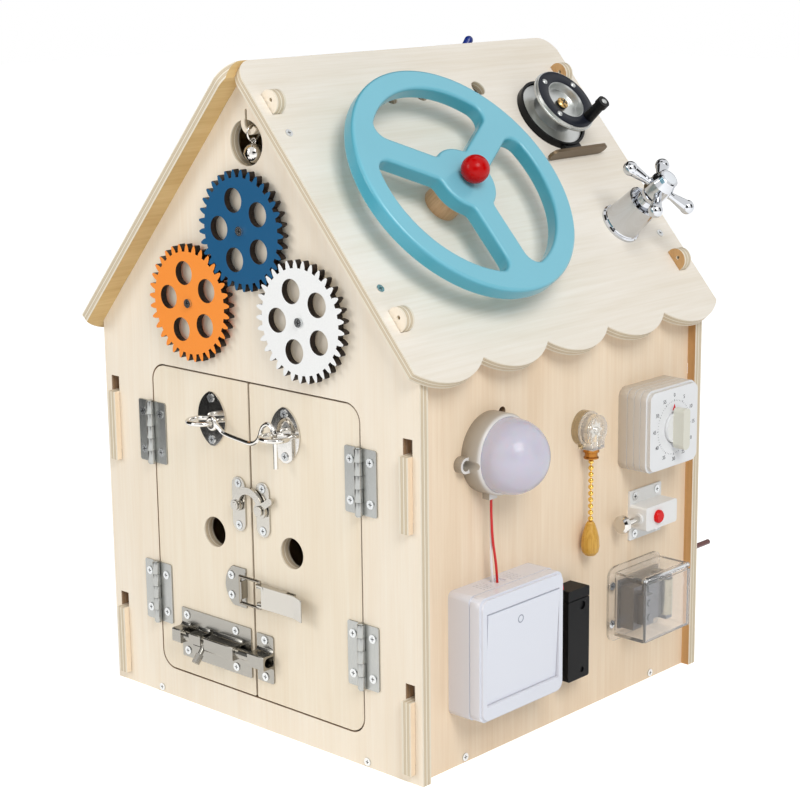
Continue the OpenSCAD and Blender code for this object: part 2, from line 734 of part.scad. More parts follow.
// ---------- cabin hook ----------
lens_r = (pow(eye_plate[0], 2) + pow(eye_plate[1], 2)) / (2 * eye_plate[0]);
module eye_plate(i) front(eye_x[i], eye_z) {
  linear_extrude(eye_plate_t) difference() {
    intersection() {
      translate([lens_r - eye_plate[0], 0]) circle(lens_r, $fn = 96);
      translate([eye_plate[0] - lens_r, 0]) circle(lens_r, $fn = 96);
      square([40, 2 * eye_plate[1] - 1.5], center = true);
    }
    dots(eye_sites, hole_r);
  }
  difference() {
    translate([0, 0, eye_ring]) rotate([90, 0, 0]) rotate_extrude(convexity = 4)
      translate([eye_ring, 0]) circle(eye_wire, $fn = 24);
    translate([-20, -20, -20]) cube([40, 40, 20]);
  }
}
module eye_plate_left() color("Silver") eye_plate(0);
module eye_plate_right() color("Silver") eye_plate(1);
hook_eye = eye_wire + hook_wire + 0.35;
hook_pivot = [eye_x[0] + eye_ring, eye_z];
hook_path = [hook_pivot + [hook_eye, 0.5], hook_pivot + [hook_eye + 3.5, -2.2],
  hook_pivot + [13.2, -5.4], [(hook_pivot[0] + eye_x[1]) / 2 - 2, eye_z - 7.4], [eye_x[1] - 23.5, eye_z - 7.8],
  [eye_x[1] - 16.3, eye_z - 3.5], [eye_x[1] - 12.2, eye_z + 5.2], [eye_x[1] - 6.4, eye_z + 8.4],
  [eye_x[1] - 1.4, eye_z + 4.6], [eye_x[1] - 0.2, eye_z - 3], [eye_x[1], eye_z - 12],
  [eye_x[1], eye_z - 21.5]];
module cabin_hook() color("Silver") {
  front(hook_pivot[0], hook_pivot[1], eye_ring) rotate_extrude(convexity = 4)
    translate([hook_eye, 0]) circle(hook_wire, $fn = 20);
  tube([for (p = smooth(hook_path, 3)) [p[0], -yf - eye_ring, p[1]]], hook_wire, [0, 1, 0], 10);
}

// ---------- horn latch ----------
horn_lift = horn_plate_t + 0.8;
module horn_plate_shape() linear_extrude(horn_plate_t) difference() {
  capsule2([0, horn_plate[1] - horn_plate[0]], [0, horn_plate[0] - horn_plate[1]], horn_plate[1]);
  dots(horn_sites, screw_head + 0.1);
}
module horn_plate_left() color("LightGrey") front(horn_x[0], horn_z) {
  horn_plate_shape();
  cylinder(r = horn_post_r + 2, h = horn_lift - 0.1);
  cylinder(r = horn_post_r, h = horn_lift + horn_arm_t + face_gap + 1.2);
  translate([0, 0, horn_lift + horn_arm_t + 0.1]) cylinder(r = horn_post_r + 1.5, h = 1.2);
}
module horn_catch() color("LightGrey") front(horn_x[1], horn_z) {
  horn_plate_shape();
  cylinder(r = horn_post_r, h = horn_lift + horn_arm_t + face_gap + 1.4);
  translate([0, 0, horn_lift + horn_arm_t + face_gap]) cylinder(r = horn_post_r + 1.6, h = 1.4);
}
horn_span = horn_x[1] - horn_x[0];
module horn_arm() color("Silver") front(horn_x[0], horn_z, horn_lift) linear_extrude(horn_arm_t)
  difference() {
    union() {
      circle(4.6);
      difference() {
        translate([horn_span / 2, 0]) circle(horn_span / 2 + horn_arm_w / 2);
        translate([horn_span / 2, 0]) circle(horn_span / 2 - horn_arm_w / 2);
        translate([-horn_span, -3 * horn_span]) square([4 * horn_span, 3 * horn_span]);
      }
      translate([horn_span, 0]) circle(horn_post_r + 3.6);
      capsule2([horn_span + 1.5, 2.5], [horn_span + 10, 8.3], 2.4);
    }
    circle(horn_post_r + run_gap);
    translate([horn_span, 0]) circle(horn_post_r + 0.9);
    translate([horn_span - horn_post_r - 0.9, -20]) square([2 * horn_post_r + 1.8, 20]);
  }

// ---------- toggle latch ----------
bail_x = toggle_x - bail_reach;
bail_h = lever_w / 2 + bail_r + 0.5;
module toggle_strike() color("LightGrey") {
  front(0, 0) linear_extrude(lever_t) difference() {
    intersection() {
      translate([strike_x - strike_w / 2 + 17, toggle_z]) circle(17, $fn = 64);
      translate([strike_x - strike_w / 2, toggle_z - strike_h]) square([strike_w + 4, 2 * strike_h]);
    }
    translate([bail_x + bail_r + 1.8, toggle_z - 30]) square(60);
    dots(strike_sites, hole_r);
  }
  front(bail_x + bail_r + 0.6, toggle_z) translate([0, -6.5, 0]) cube([1.2, 13, 6.2]);
}
ear_t = 1.2;
cheek_r = 2.4;
module toggle_base() color("LightGrey") difference() {
  union() {
    front(0, 0) linear_extrude(lever_t) difference() {
      translate([toggle_base_x[0], toggle_z - lever_w / 2 + lever_t + face_gap])
        square([toggle_base_x[1] - toggle_base_x[0], lever_w - 2 * (lever_t + face_gap)]);
      dots(toggle_sites, hole_r);
    }
    for (k = [-1, 1]) front(0, toggle_z + k * (lever_w / 2 - lever_t - face_gap - ear_t / 2))
      translate([0, ear_t / 2, 0]) rotate([90, 0, 0]) linear_extrude(ear_t) {
        capsule2([toggle_x, toggle_stand], [toggle_x + 6, cheek_r + 0.1], cheek_r);
        translate([toggle_x + 5, 0]) square([7, 5]);
      }
  }
  toggle_pin(bail_r + run_gap);
}
module toggle_pin(r) front(toggle_x, toggle_z - 20, toggle_stand) rotate([-90, 0, 0])
  cylinder(r = r, h = 40);
module lever_outline2() {
  capsule2([toggle_x, toggle_stand], [toggle_x + 6, toggle_stand + 0.2], 2.9);
  translate([toggle_x + 2, toggle_stand - 2]) square([lever_len - 14, 4.9]);
}
module toggle_lever() color("Silver") difference() {
  front(0, toggle_z + lever_w / 2) rotate([90, 0, 0]) linear_extrude(lever_w) {
    lever_outline2();
    translate([toggle_x + 4, toggle_stand + 2.9 - lever_t]) square([lever_len - 6, lever_t]);
    translate([toggle_x + lever_len - 3, toggle_stand + 2.9 - lever_t]) rotate(18)
      plate2(0, 0, 11, lever_t, [0, 0.4, 0.4, 0]);
  }
  front(0, toggle_z + lever_w / 2 - lever_t) rotate([90, 0, 0])
    linear_extrude(lever_w - 2 * lever_t) translate([toggle_x - 9, -5]) {
      square([lever_len + 3, toggle_stand + 2.9 - lever_t + 5]);
      square([9 + 4, 20]);
    }
  toggle_pin(bail_r + run_gap);
}
module toggle_bail() color("Gold") for (k = [-1, 1]) {
  y = toggle_stand;
  front(0, toggle_z, y) {
    translate([toggle_x, k * bail_h, 0]) sphere(bail_r, $fn = 24);
    translate([bail_x, k * bail_h, 0]) sphere(bail_r, $fn = 24);
    translate([bail_x, k * bail_h, 0]) rotate([0, 90, 0]) cylinder(r = bail_r, h = bail_reach, $fn = 24);
    translate([toggle_x, k * bail_h, 0]) rotate([k * 90, 0, 0])
      cylinder(r = bail_r, h = bail_h - lever_w / 2 + lever_t + face_gap + ear_t, $fn = 24);
    translate([bail_x, 0, 0]) rotate([-k * 90, 0, 0]) cylinder(r = bail_r, h = bail_h, $fn = 24);
  }
}

// ---------- barrel bolt ----------
guide_w = rod_r + run_gap + arch_wall;
rod_out = bolt_plate_t + rod_r + 1.2;
handle_r = 1.9;
handle_lean = 50;
// pressed guide with a flat front and flared feet
module bolt_guide(x0, x1) translate([x0, 0, 0]) rotate([90, 0, 90]) linear_extrude(x1 - x0) difference() {
  union() {
    plate2(-guide_w, 0, guide_w, rod_out + guide_w, [0, 0, 1, 1]);
    for (m = [0, 1]) mirror([m, 0]) difference() {
      square([guide_w + guide_flare, bolt_plate_t + guide_flare]);
      translate([guide_w + guide_flare, bolt_plate_t + guide_flare]) circle(guide_flare);
    }
  }
  translate([0, rod_out]) circle(rod_r + run_gap);
  translate([-rod_r - run_gap, -1]) square([2 * (rod_r + run_gap), 1 + rod_out]);
}
module bolt_plate() color("LightGrey") front(0, bolt_z) {
  linear_extrude(bolt_plate_t) difference() {
    plate2(bolt_plate_x[0], -bolt_plate_h / 2, bolt_plate_x[1], bolt_plate_h / 2, [1, 1, 1, 1]);
    dots([for (p = bolt_sites) p - [0, bolt_z]], hole_r);
  }
  bolt_guide(bolt_plate_x[0], bolt_plate_x[0] + 9);
  difference() {
    bolt_guide(handle_x - 13, handle_x - 1);
    // slot in which the handle slides
    translate([handle_x - rod_travel - handle_r - 0.5, 0, rod_out]) rotate([handle_lean, 0, 0])
      translate([0, -handle_r - 0.5, 0]) cube([rod_travel + 2 * handle_r + 1, 2 * handle_r + 1, handle_len]);
  }
  bolt_guide(handle_x + 3, bolt_plate_x[1] - 9);
}
module bolt_rod() color("Silver") front(0, bolt_z, rod_out) {
  translate([rod_x[0], 0, 0]) rotate([0, 90, 0]) cylinder(r = rod_r, h = rod_x[1] - rod_x[0] - 1);
  translate([rod_x[1] - 1, 0, 0]) rotate([0, 90, 0]) cylinder(r1 = rod_r, r2 = rod_r - 1, h = 1);
  translate([handle_x, 0, 0]) rotate([handle_lean, 0, 0]) {
    cylinder(r = handle_r, h = handle_len);
    translate([0, 0, handle_len - 7]) cylinder(r = handle_r + 1, h = 7, $fn = 8);
  }
}
module bolt_keeper() color("LightGrey") front(0, bolt_z) {
  linear_extrude(bolt_plate_t) difference() {
    plate2(keeper_x[0], -keeper_h / 2, keeper_x[1], keeper_h / 2, [1, 2, 2, 1]);
    dots([for (p = keeper_sites) p - [0, bolt_z]], hole_r);
  }
  bolt_guide(keeper_x[0], keeper_x[1]);
}

// ---------- gears ----------
rp = gear_dist / 2;
rb = rp * cos(20);
function inv(a) = tan(a) * 180 / PI - a;
function half_tooth(r) = 90 / gear_teeth - 0.3 + inv(20) - inv(acos(min(1, rb / r)));
tooth = [[rp - 1.25 * gear_module, half_tooth(rb)], [rb + 0.4, half_tooth(rb + 0.4)], [rp, half_tooth(rp)],
  [rp + gear_module, half_tooth(rp + gear_module)]];
module gear2(turn, hole_turn) difference() {
  polygon([for (k = [0:gear_teeth - 1], j = [0:7])
    let (p = tooth[j < 4 ? j : 7 - j], a = turn + k * 360 / gear_teeth + (j < 4 ? -1 : 1) * p[1])
    p[0] * [cos(a), sin(a)]]);
  circle(gear_pin_r + run_gap);
  for (k = [0:gear_holes - 1]) rotate(hole_turn + k * 360 / gear_holes)
    translate([gear_hole_at, 0]) circle(gear_hole_r);
}
// a follower's phase that puts its gap on the top gear's tooth
function mesh_turn(a) = 2 * a + 180 - 180 / gear_teeth;
module gear(i, turn) front(gear_c[i][0], gear_c[i][1], gear_spacer + 0.1) linear_extrude(gear_t)
  gear2(turn, gear_hole_turn[i]);
module gear_blue() color("RoyalBlue") gear(0, 0);
module gear_orange() color("Orange") gear(1, mesh_turn(gear_angle[1]));
module gear_white() color("White") gear(2, mesh_turn(gear_angle[2]));
module gear_axles() color("Silver") for (c = gear_c) front(c[0], c[1]) {
  cylinder(r = gear_pin_r + 3, h = gear_spacer);
  translate([0, 0, -ply - 3]) cylinder(r = gear_pin_r, h = ply + 3 + gear_spacer + gear_t + 0.3);
  translate([0, 0, gear_spacer + gear_t + 0.25]) cross_head(gear_pin_r + 1.2, 1.6, 0.6);
  translate([0, 0, -ply - 3]) cylinder(r = 2 * gear_pin_r, h = 3, $fn = 6);
}

// ---------- bell ----------
bar_z = tongue_c[1] - tongue_in - tongue_w / 2;
bell_in = bell_ring - bell_wire;
ring_z = bar_z + tongue_w / 2 - sqrt(max(0.1, pow(bell_in - 0.05, 2) - pow(ply / 2, 2)));
bell_z = ring_z - bell_ring - bell_r - 1.1;
module bell() color("LightGrey") translate([tongue_c[0], -yf + ply / 2, bell_z]) {
  difference() {
    sphere(bell_r);
    sphere(bell_r - bell_wall);
    translate([-0.7, -20, -bell_r * 0.85]) cube([1.4, 40, bell_r * 0.75]);
    for (k = [-1, 1]) translate([0, k * bell_r * 0.8, -1]) rotate([0, 90, 0])
      cylinder(r = 1.3, h = 4, center = true, $fn = 24);
  }
  difference() {
    cylinder(r = bell_r + 0.4, h = 0.9, center = true);
    cylinder(r = bell_r - 0.6, h = 2, center = true);
  }
  translate([0, 0, bell_r + 1.2]) rotate([90, 0, 0]) rotate_extrude()
    translate([1.75, 0]) circle(0.6, $fn = 16);
  translate([0, 0, -bell_r + bell_wall + 2.2]) sphere(2.1, $fn = 24);
  translate([0, 0, ring_z - bell_z]) rotate([0, 90, 0]) rotate_extrude()
    translate([bell_ring, 0]) circle(bell_wire, $fn = 20);
}

// ---------- steering wheel ----------
module hex_nut(r) difference() {
  cylinder(r = r * 1.9, h = 2.6, $fn = 6);
  translate([0, 0, -1]) cylinder(r = r, h = 5);
}
module steering_post() color("Peru") slope(wheel_at[0], wheel_at[1]) {
  difference() {
    cylinder(r = post_r, h = post_h);
    translate([0, 0, -1]) cylinder(r = axle_r + 0.05, h = post_h + 2);
  }
  translate([0, 0, -roof_ply - 3]) cylinder(r = axle_r, h = roof_ply + 3 + post_h + wheel_t + 4);
  translate([0, 0, -roof_ply]) mirror([0, 0, 1]) hex_nut(axle_r);
}
// rectangle of the rim's and spokes' section with rounded corners
module bar2(w, h, r) plate2(0, 0, w, h, [r, r, r, r]);
spoke_turn = 2;
module steering_wheel() color("LightBlue") slope(wheel_at[0], wheel_at[1], post_h + 0.1)
  difference() {
    union() {
      rotate_extrude($fn = 128) translate([wheel_r - rim_w, 0]) bar2(rim_w, wheel_t, rim_round);
      rotate_extrude() bar2_hub();
      for (k = [0:2]) rotate(spoke_turn + 120 * k) {
        translate([10, 0, 0]) rotate([90, 0, 90]) linear_extrude(wheel_r - rim_w / 2 - 10)
          translate([-spoke_w / 2, 0]) bar2(spoke_w, wheel_t, rim_round);
        for (m = [0, 1]) mirror([0, m, 0]) translate([0, 0, 0.8]) linear_extrude(wheel_t - 1.6)
          spoke_corner2();
      }
    }
    translate([0, 0, -1]) cylinder(r = axle_r + run_gap, h = wheel_t + 2);
  }
module bar2_hub() difference() {
  square([hub_r, wheel_t]);
  corner(hub_r, 0, -1, 1, rim_round);
  corner(hub_r, wheel_t, -1, -1, rim_round);
}
win_r = wheel_r - rim_w;
// fillet between a spoke's side and the rim's inner face
module spoke_corner2() {
  d = spoke_w / 2 + spoke_fillet - 1.5;
  c = sqrt(pow(win_r + 1.5 - spoke_fillet, 2) - d * d);
  difference() {
    polygon([[c, spoke_w / 2 - 2], [win_r + 2, spoke_w / 2 - 2],
      [sqrt(pow(win_r + 2, 2) - pow(d + 1, 2)), d + 1], [c * 1.04, d * 1.04], [c, d]]);
    translate([c, d]) circle(spoke_fillet);
  }
}
module steering_ball() color("Red") slope(wheel_at[0], wheel_at[1], post_h + wheel_t + 0.35)
  difference() {
    translate([0, 0, ball_r - 0.8]) sphere(ball_r);
    translate([0, 0, -ball_r]) cylinder(r = 2 * ball_r, h = ball_r);
    translate([0, 0, -1]) cylinder(r = axle_r, h = 4.66);
  }

// ---------- reel ----------
module on_reel(h = 0) slope(reel_at[0], reel_at[1], h) children();
reel_lip = 5.5;
module reel_frame() color("DimGray") on_reel() {
  difference() {
    cylinder(r = reel_back_r, h = reel_lip);
    translate([0, 0, 2.4]) cylinder(r = reel_back_r - 1.8, h = reel_lip);
    translate([0, 0, -1]) cylinder(r = axle_r, h = 9);
  }
  translate([0, 0, -roof_ply - 3]) cylinder(r = axle_r, h = roof_ply + 3 + reel_h - 4.5);
  translate([0, 0, reel_h - 5.6]) cross_head(axle_r + 1.4, 1.6, 0.6);
  translate([0, 0, -roof_ply]) mirror([0, 0, 1]) hex_nut(axle_r);
  translate([reel_back_r - 2, -9, 0]) cube([8, 18, 4.5]);
  translate([reel_back_r + 5.5, 0, 5.3]) rotate([0, 90, 0]) linear_extrude(2.4)
    capsule2([0, -reel_foot / 2 + 5], [0, reel_foot / 2 - 5], 5);
}
module reel_spool() color("Silver") on_reel() difference() {
  rotate_extrude(convexity = 6) polygon([[axle_r + run_gap, 2.8], [reel_spool_r, 2.8],
    [reel_spool_r, 4.2], [17, 4.6], [17, reel_h - 5], [reel_spool_r, reel_h - 3.4],
    [reel_spool_r, reel_h - 2.2], [reel_spool_r - 0.8, reel_h - 2.2], [reel_spool_r - 0.8, reel_h],
    [reel_cup_r, reel_h], [reel_cup_r - 1.2, reel_h - 6], [axle_r + run_gap, reel_h - 6]]);
  for (a = [90, 180, 270]) rotate(a + 34) translate([reel_knob_at, 0, reel_h - 0.8])
    cylinder(r = 2.6, h = 2);
  rotate(34) translate([reel_knob_at, 0, reel_h - 5]) cylinder(r = 1.6 + run_gap, h = 9);
}
module reel_knob() color("Black") on_reel() rotate(34) translate([reel_knob_at, 0, 0]) {
  translate([0, 0, reel_h - 4.8]) cylinder(r = 1.6, h = 8);
  translate([0, 0, reel_h + 0.3]) cylinder(r1 = 4.6, r2 = 4, h = reel_knob_h - 5);
  translate([0, 0, reel_h + reel_knob_h - 4.7]) cylinder(r = 4.8, h = 4.7);
}

// ---------- tap ----------
tap_stem_r = 6;
module on_tap(h = 0) slope(tap_at[0], tap_at[1], h) children();
module tap_sleeve() color("Silver") on_tap() {
  rotate_extrude(convexity = 4) polygon([[0, 0], [tap_flange_r, 0], [tap_flange_r, 1.6],
    [tap_flange_r - 1, 2.6], [tap_sleeve_r + 0.4, 2.6], [tap_sleeve_r, 3.4],
    [tap_sleeve_r - 1.6, tap_sleeve_h], [tap_sleeve_r - 3.4, tap_sleeve_h],
    [tap_sleeve_r - 4.4, tap_sleeve_h - 3], [5, tap_sleeve_h - 3], [5, tap_sleeve_h + 8], [0, tap_sleeve_h + 8]]);
  translate([0, 0, -roof_ply - 7]) cylinder(r = tap_stem_r, h = roof_ply + 8);
  translate([0, 0, -roof_ply]) mirror([0, 0, 1]) difference() {
    cylinder(r = 12, h = 4, $fn = 6);
    translate([0, 0, -1]) cylinder(r = tap_stem_r, h = 7);
  }
}
arm_in = 6;
arm_neck = 0.45 * tap_arm;
arm_r = 2.9;
bulb_r = 5.3;
module tap_handle() color("LightGrey") on_tap() difference() {
  union() {
    rotate_extrude(convexity = 4) polygon([[0, tap_sleeve_h - 1], [8, tap_sleeve_h - 1],
      [7, tap_sleeve_h + 5], [7.4, tap_arm_h - 8], [9.5, tap_arm_h - 5], [9.5, tap_arm_h + 5],
      [8, tap_arm_h + 9], [7.4, tap_arm_h + 12], [6.6, tap_arm_h + 12.6], [0, tap_arm_h + 12.6]]);
    for (k = [0:3]) rotate(42 + 90 * k) translate([0, 0, tap_arm_h]) rotate([0, 90, 0]) {
      translate([0, 0, arm_in]) cylinder(r = arm_r, h = arm_neck - arm_in);
      translate([0, 0, arm_neck]) cylinder(r1 = arm_r, r2 = bulb_r - 0.7, h = tap_arm - 3.5 - arm_neck);
      translate([0, 0, tap_arm - 1.2]) sphere(bulb_r);
    }
  }
  translate([0, 0, tap_sleeve_h - 2]) cylinder(r = 5 + run_gap, h = 10.3);
}

// ---------- wall lamp ----------
lamp_foot_t = 2.4;
gland_drop = 1.5;
module lamp_base() color("White") wall(lamp_at[0], lamp_at[1]) difference() {
  union() {
    rotate_extrude(convexity = 4) polygon([[0, 0], [lamp_r, 0], [lamp_r, lamp_base_h - 2],
      [lamp_r - 1, lamp_base_h - 0.6], [lamp_r - 1.7, lamp_base_h], [dome_r + 0.1, lamp_base_h],
      [dome_r + 0.1, lamp_base_h - 3], [0, lamp_base_h - 3]]);
    linear_extrude(lamp_ear_h) difference() {
      capsule2([-lamp_ear, -3], [lamp_ear, -3], 5.4);
      dots([for (k = [-1, 1]) [k * lamp_ear, -3]], hole_r);
    }
    translate([-12, -lamp_r - gland_drop, 5]) cube([8, 8, 6]);
  }
  for (k = [-1, 1]) translate([k * lamp_ear, -3, lamp_foot_t]) cylinder(r = screw_head + 0.6, h = 20);
}
cap_r = (dome_r * dome_r + dome_h * dome_h) / (2 * dome_h);
module lamp_dome() color("Lavender") wall(lamp_at[0], lamp_at[1], lamp_base_h - 3) {
  cylinder(r = dome_r, h = 3 + dome_skirt);
  translate([0, 0, 3 + dome_skirt]) intersection() {
    translate([0, 0, dome_h - cap_r]) sphere(cap_r, $fn = 72);
    cylinder(r = dome_r, h = 60);
  }
}

// ---------- wall switch ----------
lead_recess = 1;
rocker_x = switch_box_h + switch_frame_h - 5;
switch_c = switch_at + [switch_w / 2, switch_w / 2];
module switch_box() color("WhiteSmoke") wall(switch_c[0], switch_c[1]) difference() {
  union() {
    linear_extrude(switch_box_h) plate2(-switch_w / 2, -switch_w / 2, switch_w / 2, switch_w / 2,
      [4, 4, 4, 4]);
    translate([0, 0, switch_box_h]) linear_extrude(switch_frame_h - 2) plate2(-switch_w / 2,
      -switch_w / 2, switch_w / 2, switch_w / 2, [6, 6, 6, 6]);
    translate([0, 0, switch_box_h + switch_frame_h - 2]) linear_extrude(2) plate2(-switch_w / 2 + 1.5,
      -switch_w / 2 + 1.5, switch_w / 2 - 1.5, switch_w / 2 - 1.5, [6, 6, 6, 6]);
  }
  translate([-rocker[0] / 2 - 0.5, -rocker[1] / 2 - 0.5, switch_box_h])
    cube([rocker[0] + 1, rocker[1] + 1, 20]);
  translate([-rocker[0] / 2 - 3.6, 0, rocker_x]) rotate([0, 90, 0])
    cylinder(r = 1.8 + run_gap, h = rocker[0] + 7.2);
  translate([-switch_w, -switch_w, switch_box_h - 0.4]) difference() {
    cube([2 * switch_w, 2 * switch_w, 0.8]);
    translate([switch_w / 2 + 0.8, switch_w / 2 + 0.8, -1]) cube([switch_w - 1.6, switch_w - 1.6, 3]);
  }
  translate([-9.5, switch_w / 2 - lead_recess, 6]) cube([11, 2, 7]);
  // knock-out lines on both sides of the leads
  for (x = [-24, 5], i = [0:3]) translate([x + 3 * i, switch_w / 2 - 0.4, 4])
    cube([0.6, 1, switch_box_h - 7]);
}
module switch_rocker() color("GhostWhite") wall(switch_c[0], switch_c[1], rocker_x)
  rotate([rocker_tilt, 0, 0]) {
    translate([-rocker[0] / 2, -rocker[1] / 2, -2.4]) cube([rocker[0], rocker[1], 6.6]);
    translate([-rocker[0] / 2 - 3.4, 0, 0]) rotate([0, 90, 0])
      cylinder(r = 1.8, h = rocker[0] + 6.8);
  }

// ---------- battery box ----------
module battery_box() color("Black") wall(battery_at[0], battery_at[1]) difference() {
  translate([0, 0, 0]) linear_extrude(battery_size[2]) plate2(-battery_size[0] / 2, 0,
    battery_size[0] / 2, battery_size[1], [1.5, 1.5, 1.5, 1.5]);
  translate([-battery_size[0], battery_size[1] - 8, battery_size[2] - 3.5]) cube([2 * battery_size[0], 0.6, 4]);
  translate([4, battery_size[1] - 13, battery_size[2] - 1.2]) cylinder(r = 3, h = 3);
  translate([4, 6, battery_size[2] - 1]) cylinder(r = 2, h = 3);
}

// ---------- pull switch ----------
pull_axis = 8;
neck_w = 13;
module pull_body() color("LightCyan") wall(pull_at[0], pull_at[1]) {
  difference() {
    union() {
      cylinder(r = pull_discs[0], h = pull_depth[0]);
      cylinder(r = pull_discs[1], h = pull_depth[0] + pull_depth[1] - 1);
      cylinder(r = pull_discs[1] - 1, h = pull_depth[0] + pull_depth[1]);
      translate([-neck_w / 2, -pull_drop, 1.5]) cube([neck_w, pull_drop, 13]);
    }
    translate([0, -pull_drop - 1, pull_axis]) rotate([-90, 0, 0]) cylinder(r = 3, h = 2 + 6 + pull_travel);
  }
  translate([0, -pull_drop, pull_axis]) rotate([90, 0, 0]) rotate_extrude() polygon([[2.2, 0.05],
    [5.6, 0.05], [5.6, 2.4], [4.4, 3], [4.4, 5.6], [5.2, 6.2], [5.2, 7], [2.2, 7]]);
}
bead_top = -pull_drop - 7.3;
module pull_chain() color("Goldenrod") wall(pull_at[0], pull_at[1], pull_axis) rotate([90, 0, 0]) {
  translate([0, 0, pull_drop - pull_travel - 5]) cylinder(r = 2.6, h = 4.5);
  translate([0, 0, pull_drop - pull_travel - 1]) cylinder(r = 0.5,
    h = pull_travel + 9 + bead_count * bead_pitch);
  translate([0, 0, -bead_top]) {
    for (i = [0:bead_count - 1]) translate([0, 0, (i + 0.5) * bead_pitch]) sphere(bead_r, $fn = 24);
    translate([0, 0, bead_count * bead_pitch - 0.4]) rotate_extrude() polygon([[0, 0], [2, 0],
      [3.2, 1.6], [pendant_r - 1.6, 7], [pendant_r - 0.4, 12], [pendant_r, pendant_h - 7],
      [pendant_r - 0.8, pendant_h - 3], [pendant_r - 2.8, pendant_h - 0.6], [0, pendant_h]]);
  }
}

// ---------- timer ----------
module timer_case() color("White") wall(timer_at[0], timer_at[1]) difference() {
  union() {
    linear_extrude(timer_h - 3) plate2(-timer_w / 2, -timer_w / 2, timer_w / 2, timer_w / 2, [7, 7, 7, 7]);
    translate([0, 0, timer_h - 3]) linear_extrude(3) plate2(-timer_w / 2 + 1.5, -timer_w / 2 + 1.5,
      timer_w / 2 - 1.5, timer_w / 2 - 1.5, [6, 6, 6, 6]);
  }
  // seams round the case
  for (z = [0.28, 0.5, 0.7]) translate([0, 0, z * timer_h]) linear_extrude(0.5) difference() {
    square(timer_w + 4, center = true);
    plate2(-timer_w / 2 + 0.4, -timer_w / 2 + 0.4, timer_w / 2 - 0.4, timer_w / 2 - 0.4, [7, 7, 7, 7]);
  }
  translate([0, 0, timer_h - 10]) cylinder(r = 3 + run_gap, h = 20);
  translate([0, 0, timer_h - 1.2]) cylinder(r = 11.4, h = 3);
}
module timer_knob() color("Ivory") wall(timer_at[0], timer_at[1]) {
  translate([0, 0, timer_h - 9.8]) cylinder(r = 3, h = 10);
  translate([0, 0, timer_h - 0.9]) cylinder(r = 11, h = 3);
  translate([0, 0, timer_h + 2]) linear_extrude(9) plate2(-4, -timer_bar / 2, 4, timer_bar / 2,
    [4, 4, 3, 3]);
}

// ---------- push latch ----------
latch_plate_t = 1.6;
latch_axis = latch_housing[1] - 6.6;
latch_in = 6;
button_x = -5.2;
button_low = latch_axis + latch_rod_r + 0.3 + button_travel;
module latch_body() color("WhiteSmoke") wall(latch_at[0], latch_at[1]) difference() {
  union() {
    linear_extrude(latch_plate_t) difference() {
      plate2(-latch_plate[0] / 2, -latch_plate[1] / 2, latch_plate[0] / 2, latch_plate[1] / 2, [1, 1, 1, 1]);
      dots([for (p = latch_sites) p - latch_at], hole_r);
    }
    linear_extrude(latch_housing[1]) plate2(-latch_plate[0] / 2, -latch_housing[0] / 2,
      latch_plate[0] / 2 - 1, latch_housing[0] / 2, [2, 2, 2, 2]);
    translate([-latch_plate[0] / 2 - 1.5, 0, latch_axis]) rotate([0, 90, 0]) cylinder(r = 4, h = 2);
  }
  translate([-latch_plate[0], 0, latch_axis]) rotate([0, 90, 0])
    cylinder(r = latch_rod_r + run_gap, h = latch_plate[0] / 2 + latch_in + latch_travel + 0.5);
  translate([button_x, 0, latch_axis + latch_rod_r]) cylinder(r = button_r + run_gap, h = 20);
}
module latch_rod() color("Silver") wall(latch_at[0] - latch_plate[0] / 2, latch_at[1], latch_axis)
  rotate([0, 90, 0]) {
    translate([0, 0, -latch_reach]) cylinder(r = latch_rod_r, h = latch_reach + latch_in);
    translate([0, 0, -latch_reach]) cylinder(r1 = 4, r2 = latch_rod_r, h = 1.5);
    translate([0, 0, -latch_reach - 3.2]) cylinder(r = latch_knob_r, h = 3.2);
    translate([0, 0, -latch_reach - 4.6]) cylinder(r1 = latch_knob_r - 2, r2 = latch_knob_r, h = 1.4);
  }
module latch_button() color("Red") wall(latch_at[0] + button_x, latch_at[1], button_low) {
  cylinder(r = button_r, h = latch_housing[1] + 1.8 - button_low);
  translate([0, 0, latch_housing[1] + 1.8 - button_low]) cylinder(r1 = button_r, r2 = button_r - 1, h = 1);
}

// ---------- music box ----------
mx = music_size[0];
mz = music_size[1];
md = music_size[2];
lid_at = [mz - 1.7, md - 2.2];
barrel_r = 1.7;
module lid_pin(r, over) translate([-over, lid_at[0], lid_at[1]]) rotate([0, 90, 0])
  cylinder(r = r, h = mx + 2 * over);
module music_case() color("LightCyan") wall(music_at[0], music_at[1]) difference() {
  union() {
    cube([mx, mz, md - music_wall]);
    linear_extrude(music_wall) difference() {
      plate2(-music_flange[0], -music_flange[1], mx + 2, mz + music_flange[1], [8, 8, 8, 8]);
      dots([for (p = music_sites) p - music_at], hole_r);
    }
    for (x = [0, mx - music_wall]) translate([x, lid_at[0], lid_at[1]]) rotate([0, 90, 0])
      cylinder(r = barrel_r + 0.3, h = music_wall);
  }
  translate([music_wall, music_wall, music_wall]) cube([mx - 2 * music_wall, mz - 2 * music_wall, md]);
  translate([music_wall, mz - 3.8, lid_at[1] - barrel_r - 0.4]) cube([mx - 2 * music_wall, 10, 10]);
  lid_pin(lid_pin_r + 0.05, 2);
}
module music_lid() color("LightCyan") wall(music_at[0], music_at[1]) {
  inset = music_wall + 0.3;
  difference() {
    union() {
      translate([0, 0.6, md - music_wall + 0.3]) cube([mx, lid_at[0] - 3.2, music_wall]);
      translate([inset, lid_at[0] - 3, md - music_wall + 0.3]) cube([mx - 2 * inset, 3, 1.2]);
      translate([inset, lid_at[0], lid_at[1]]) rotate([0, 90, 0])
        cylinder(r = barrel_r, h = mx - 2 * inset);
    }
    lid_pin(lid_pin_r + run_gap, 2);
  }
}
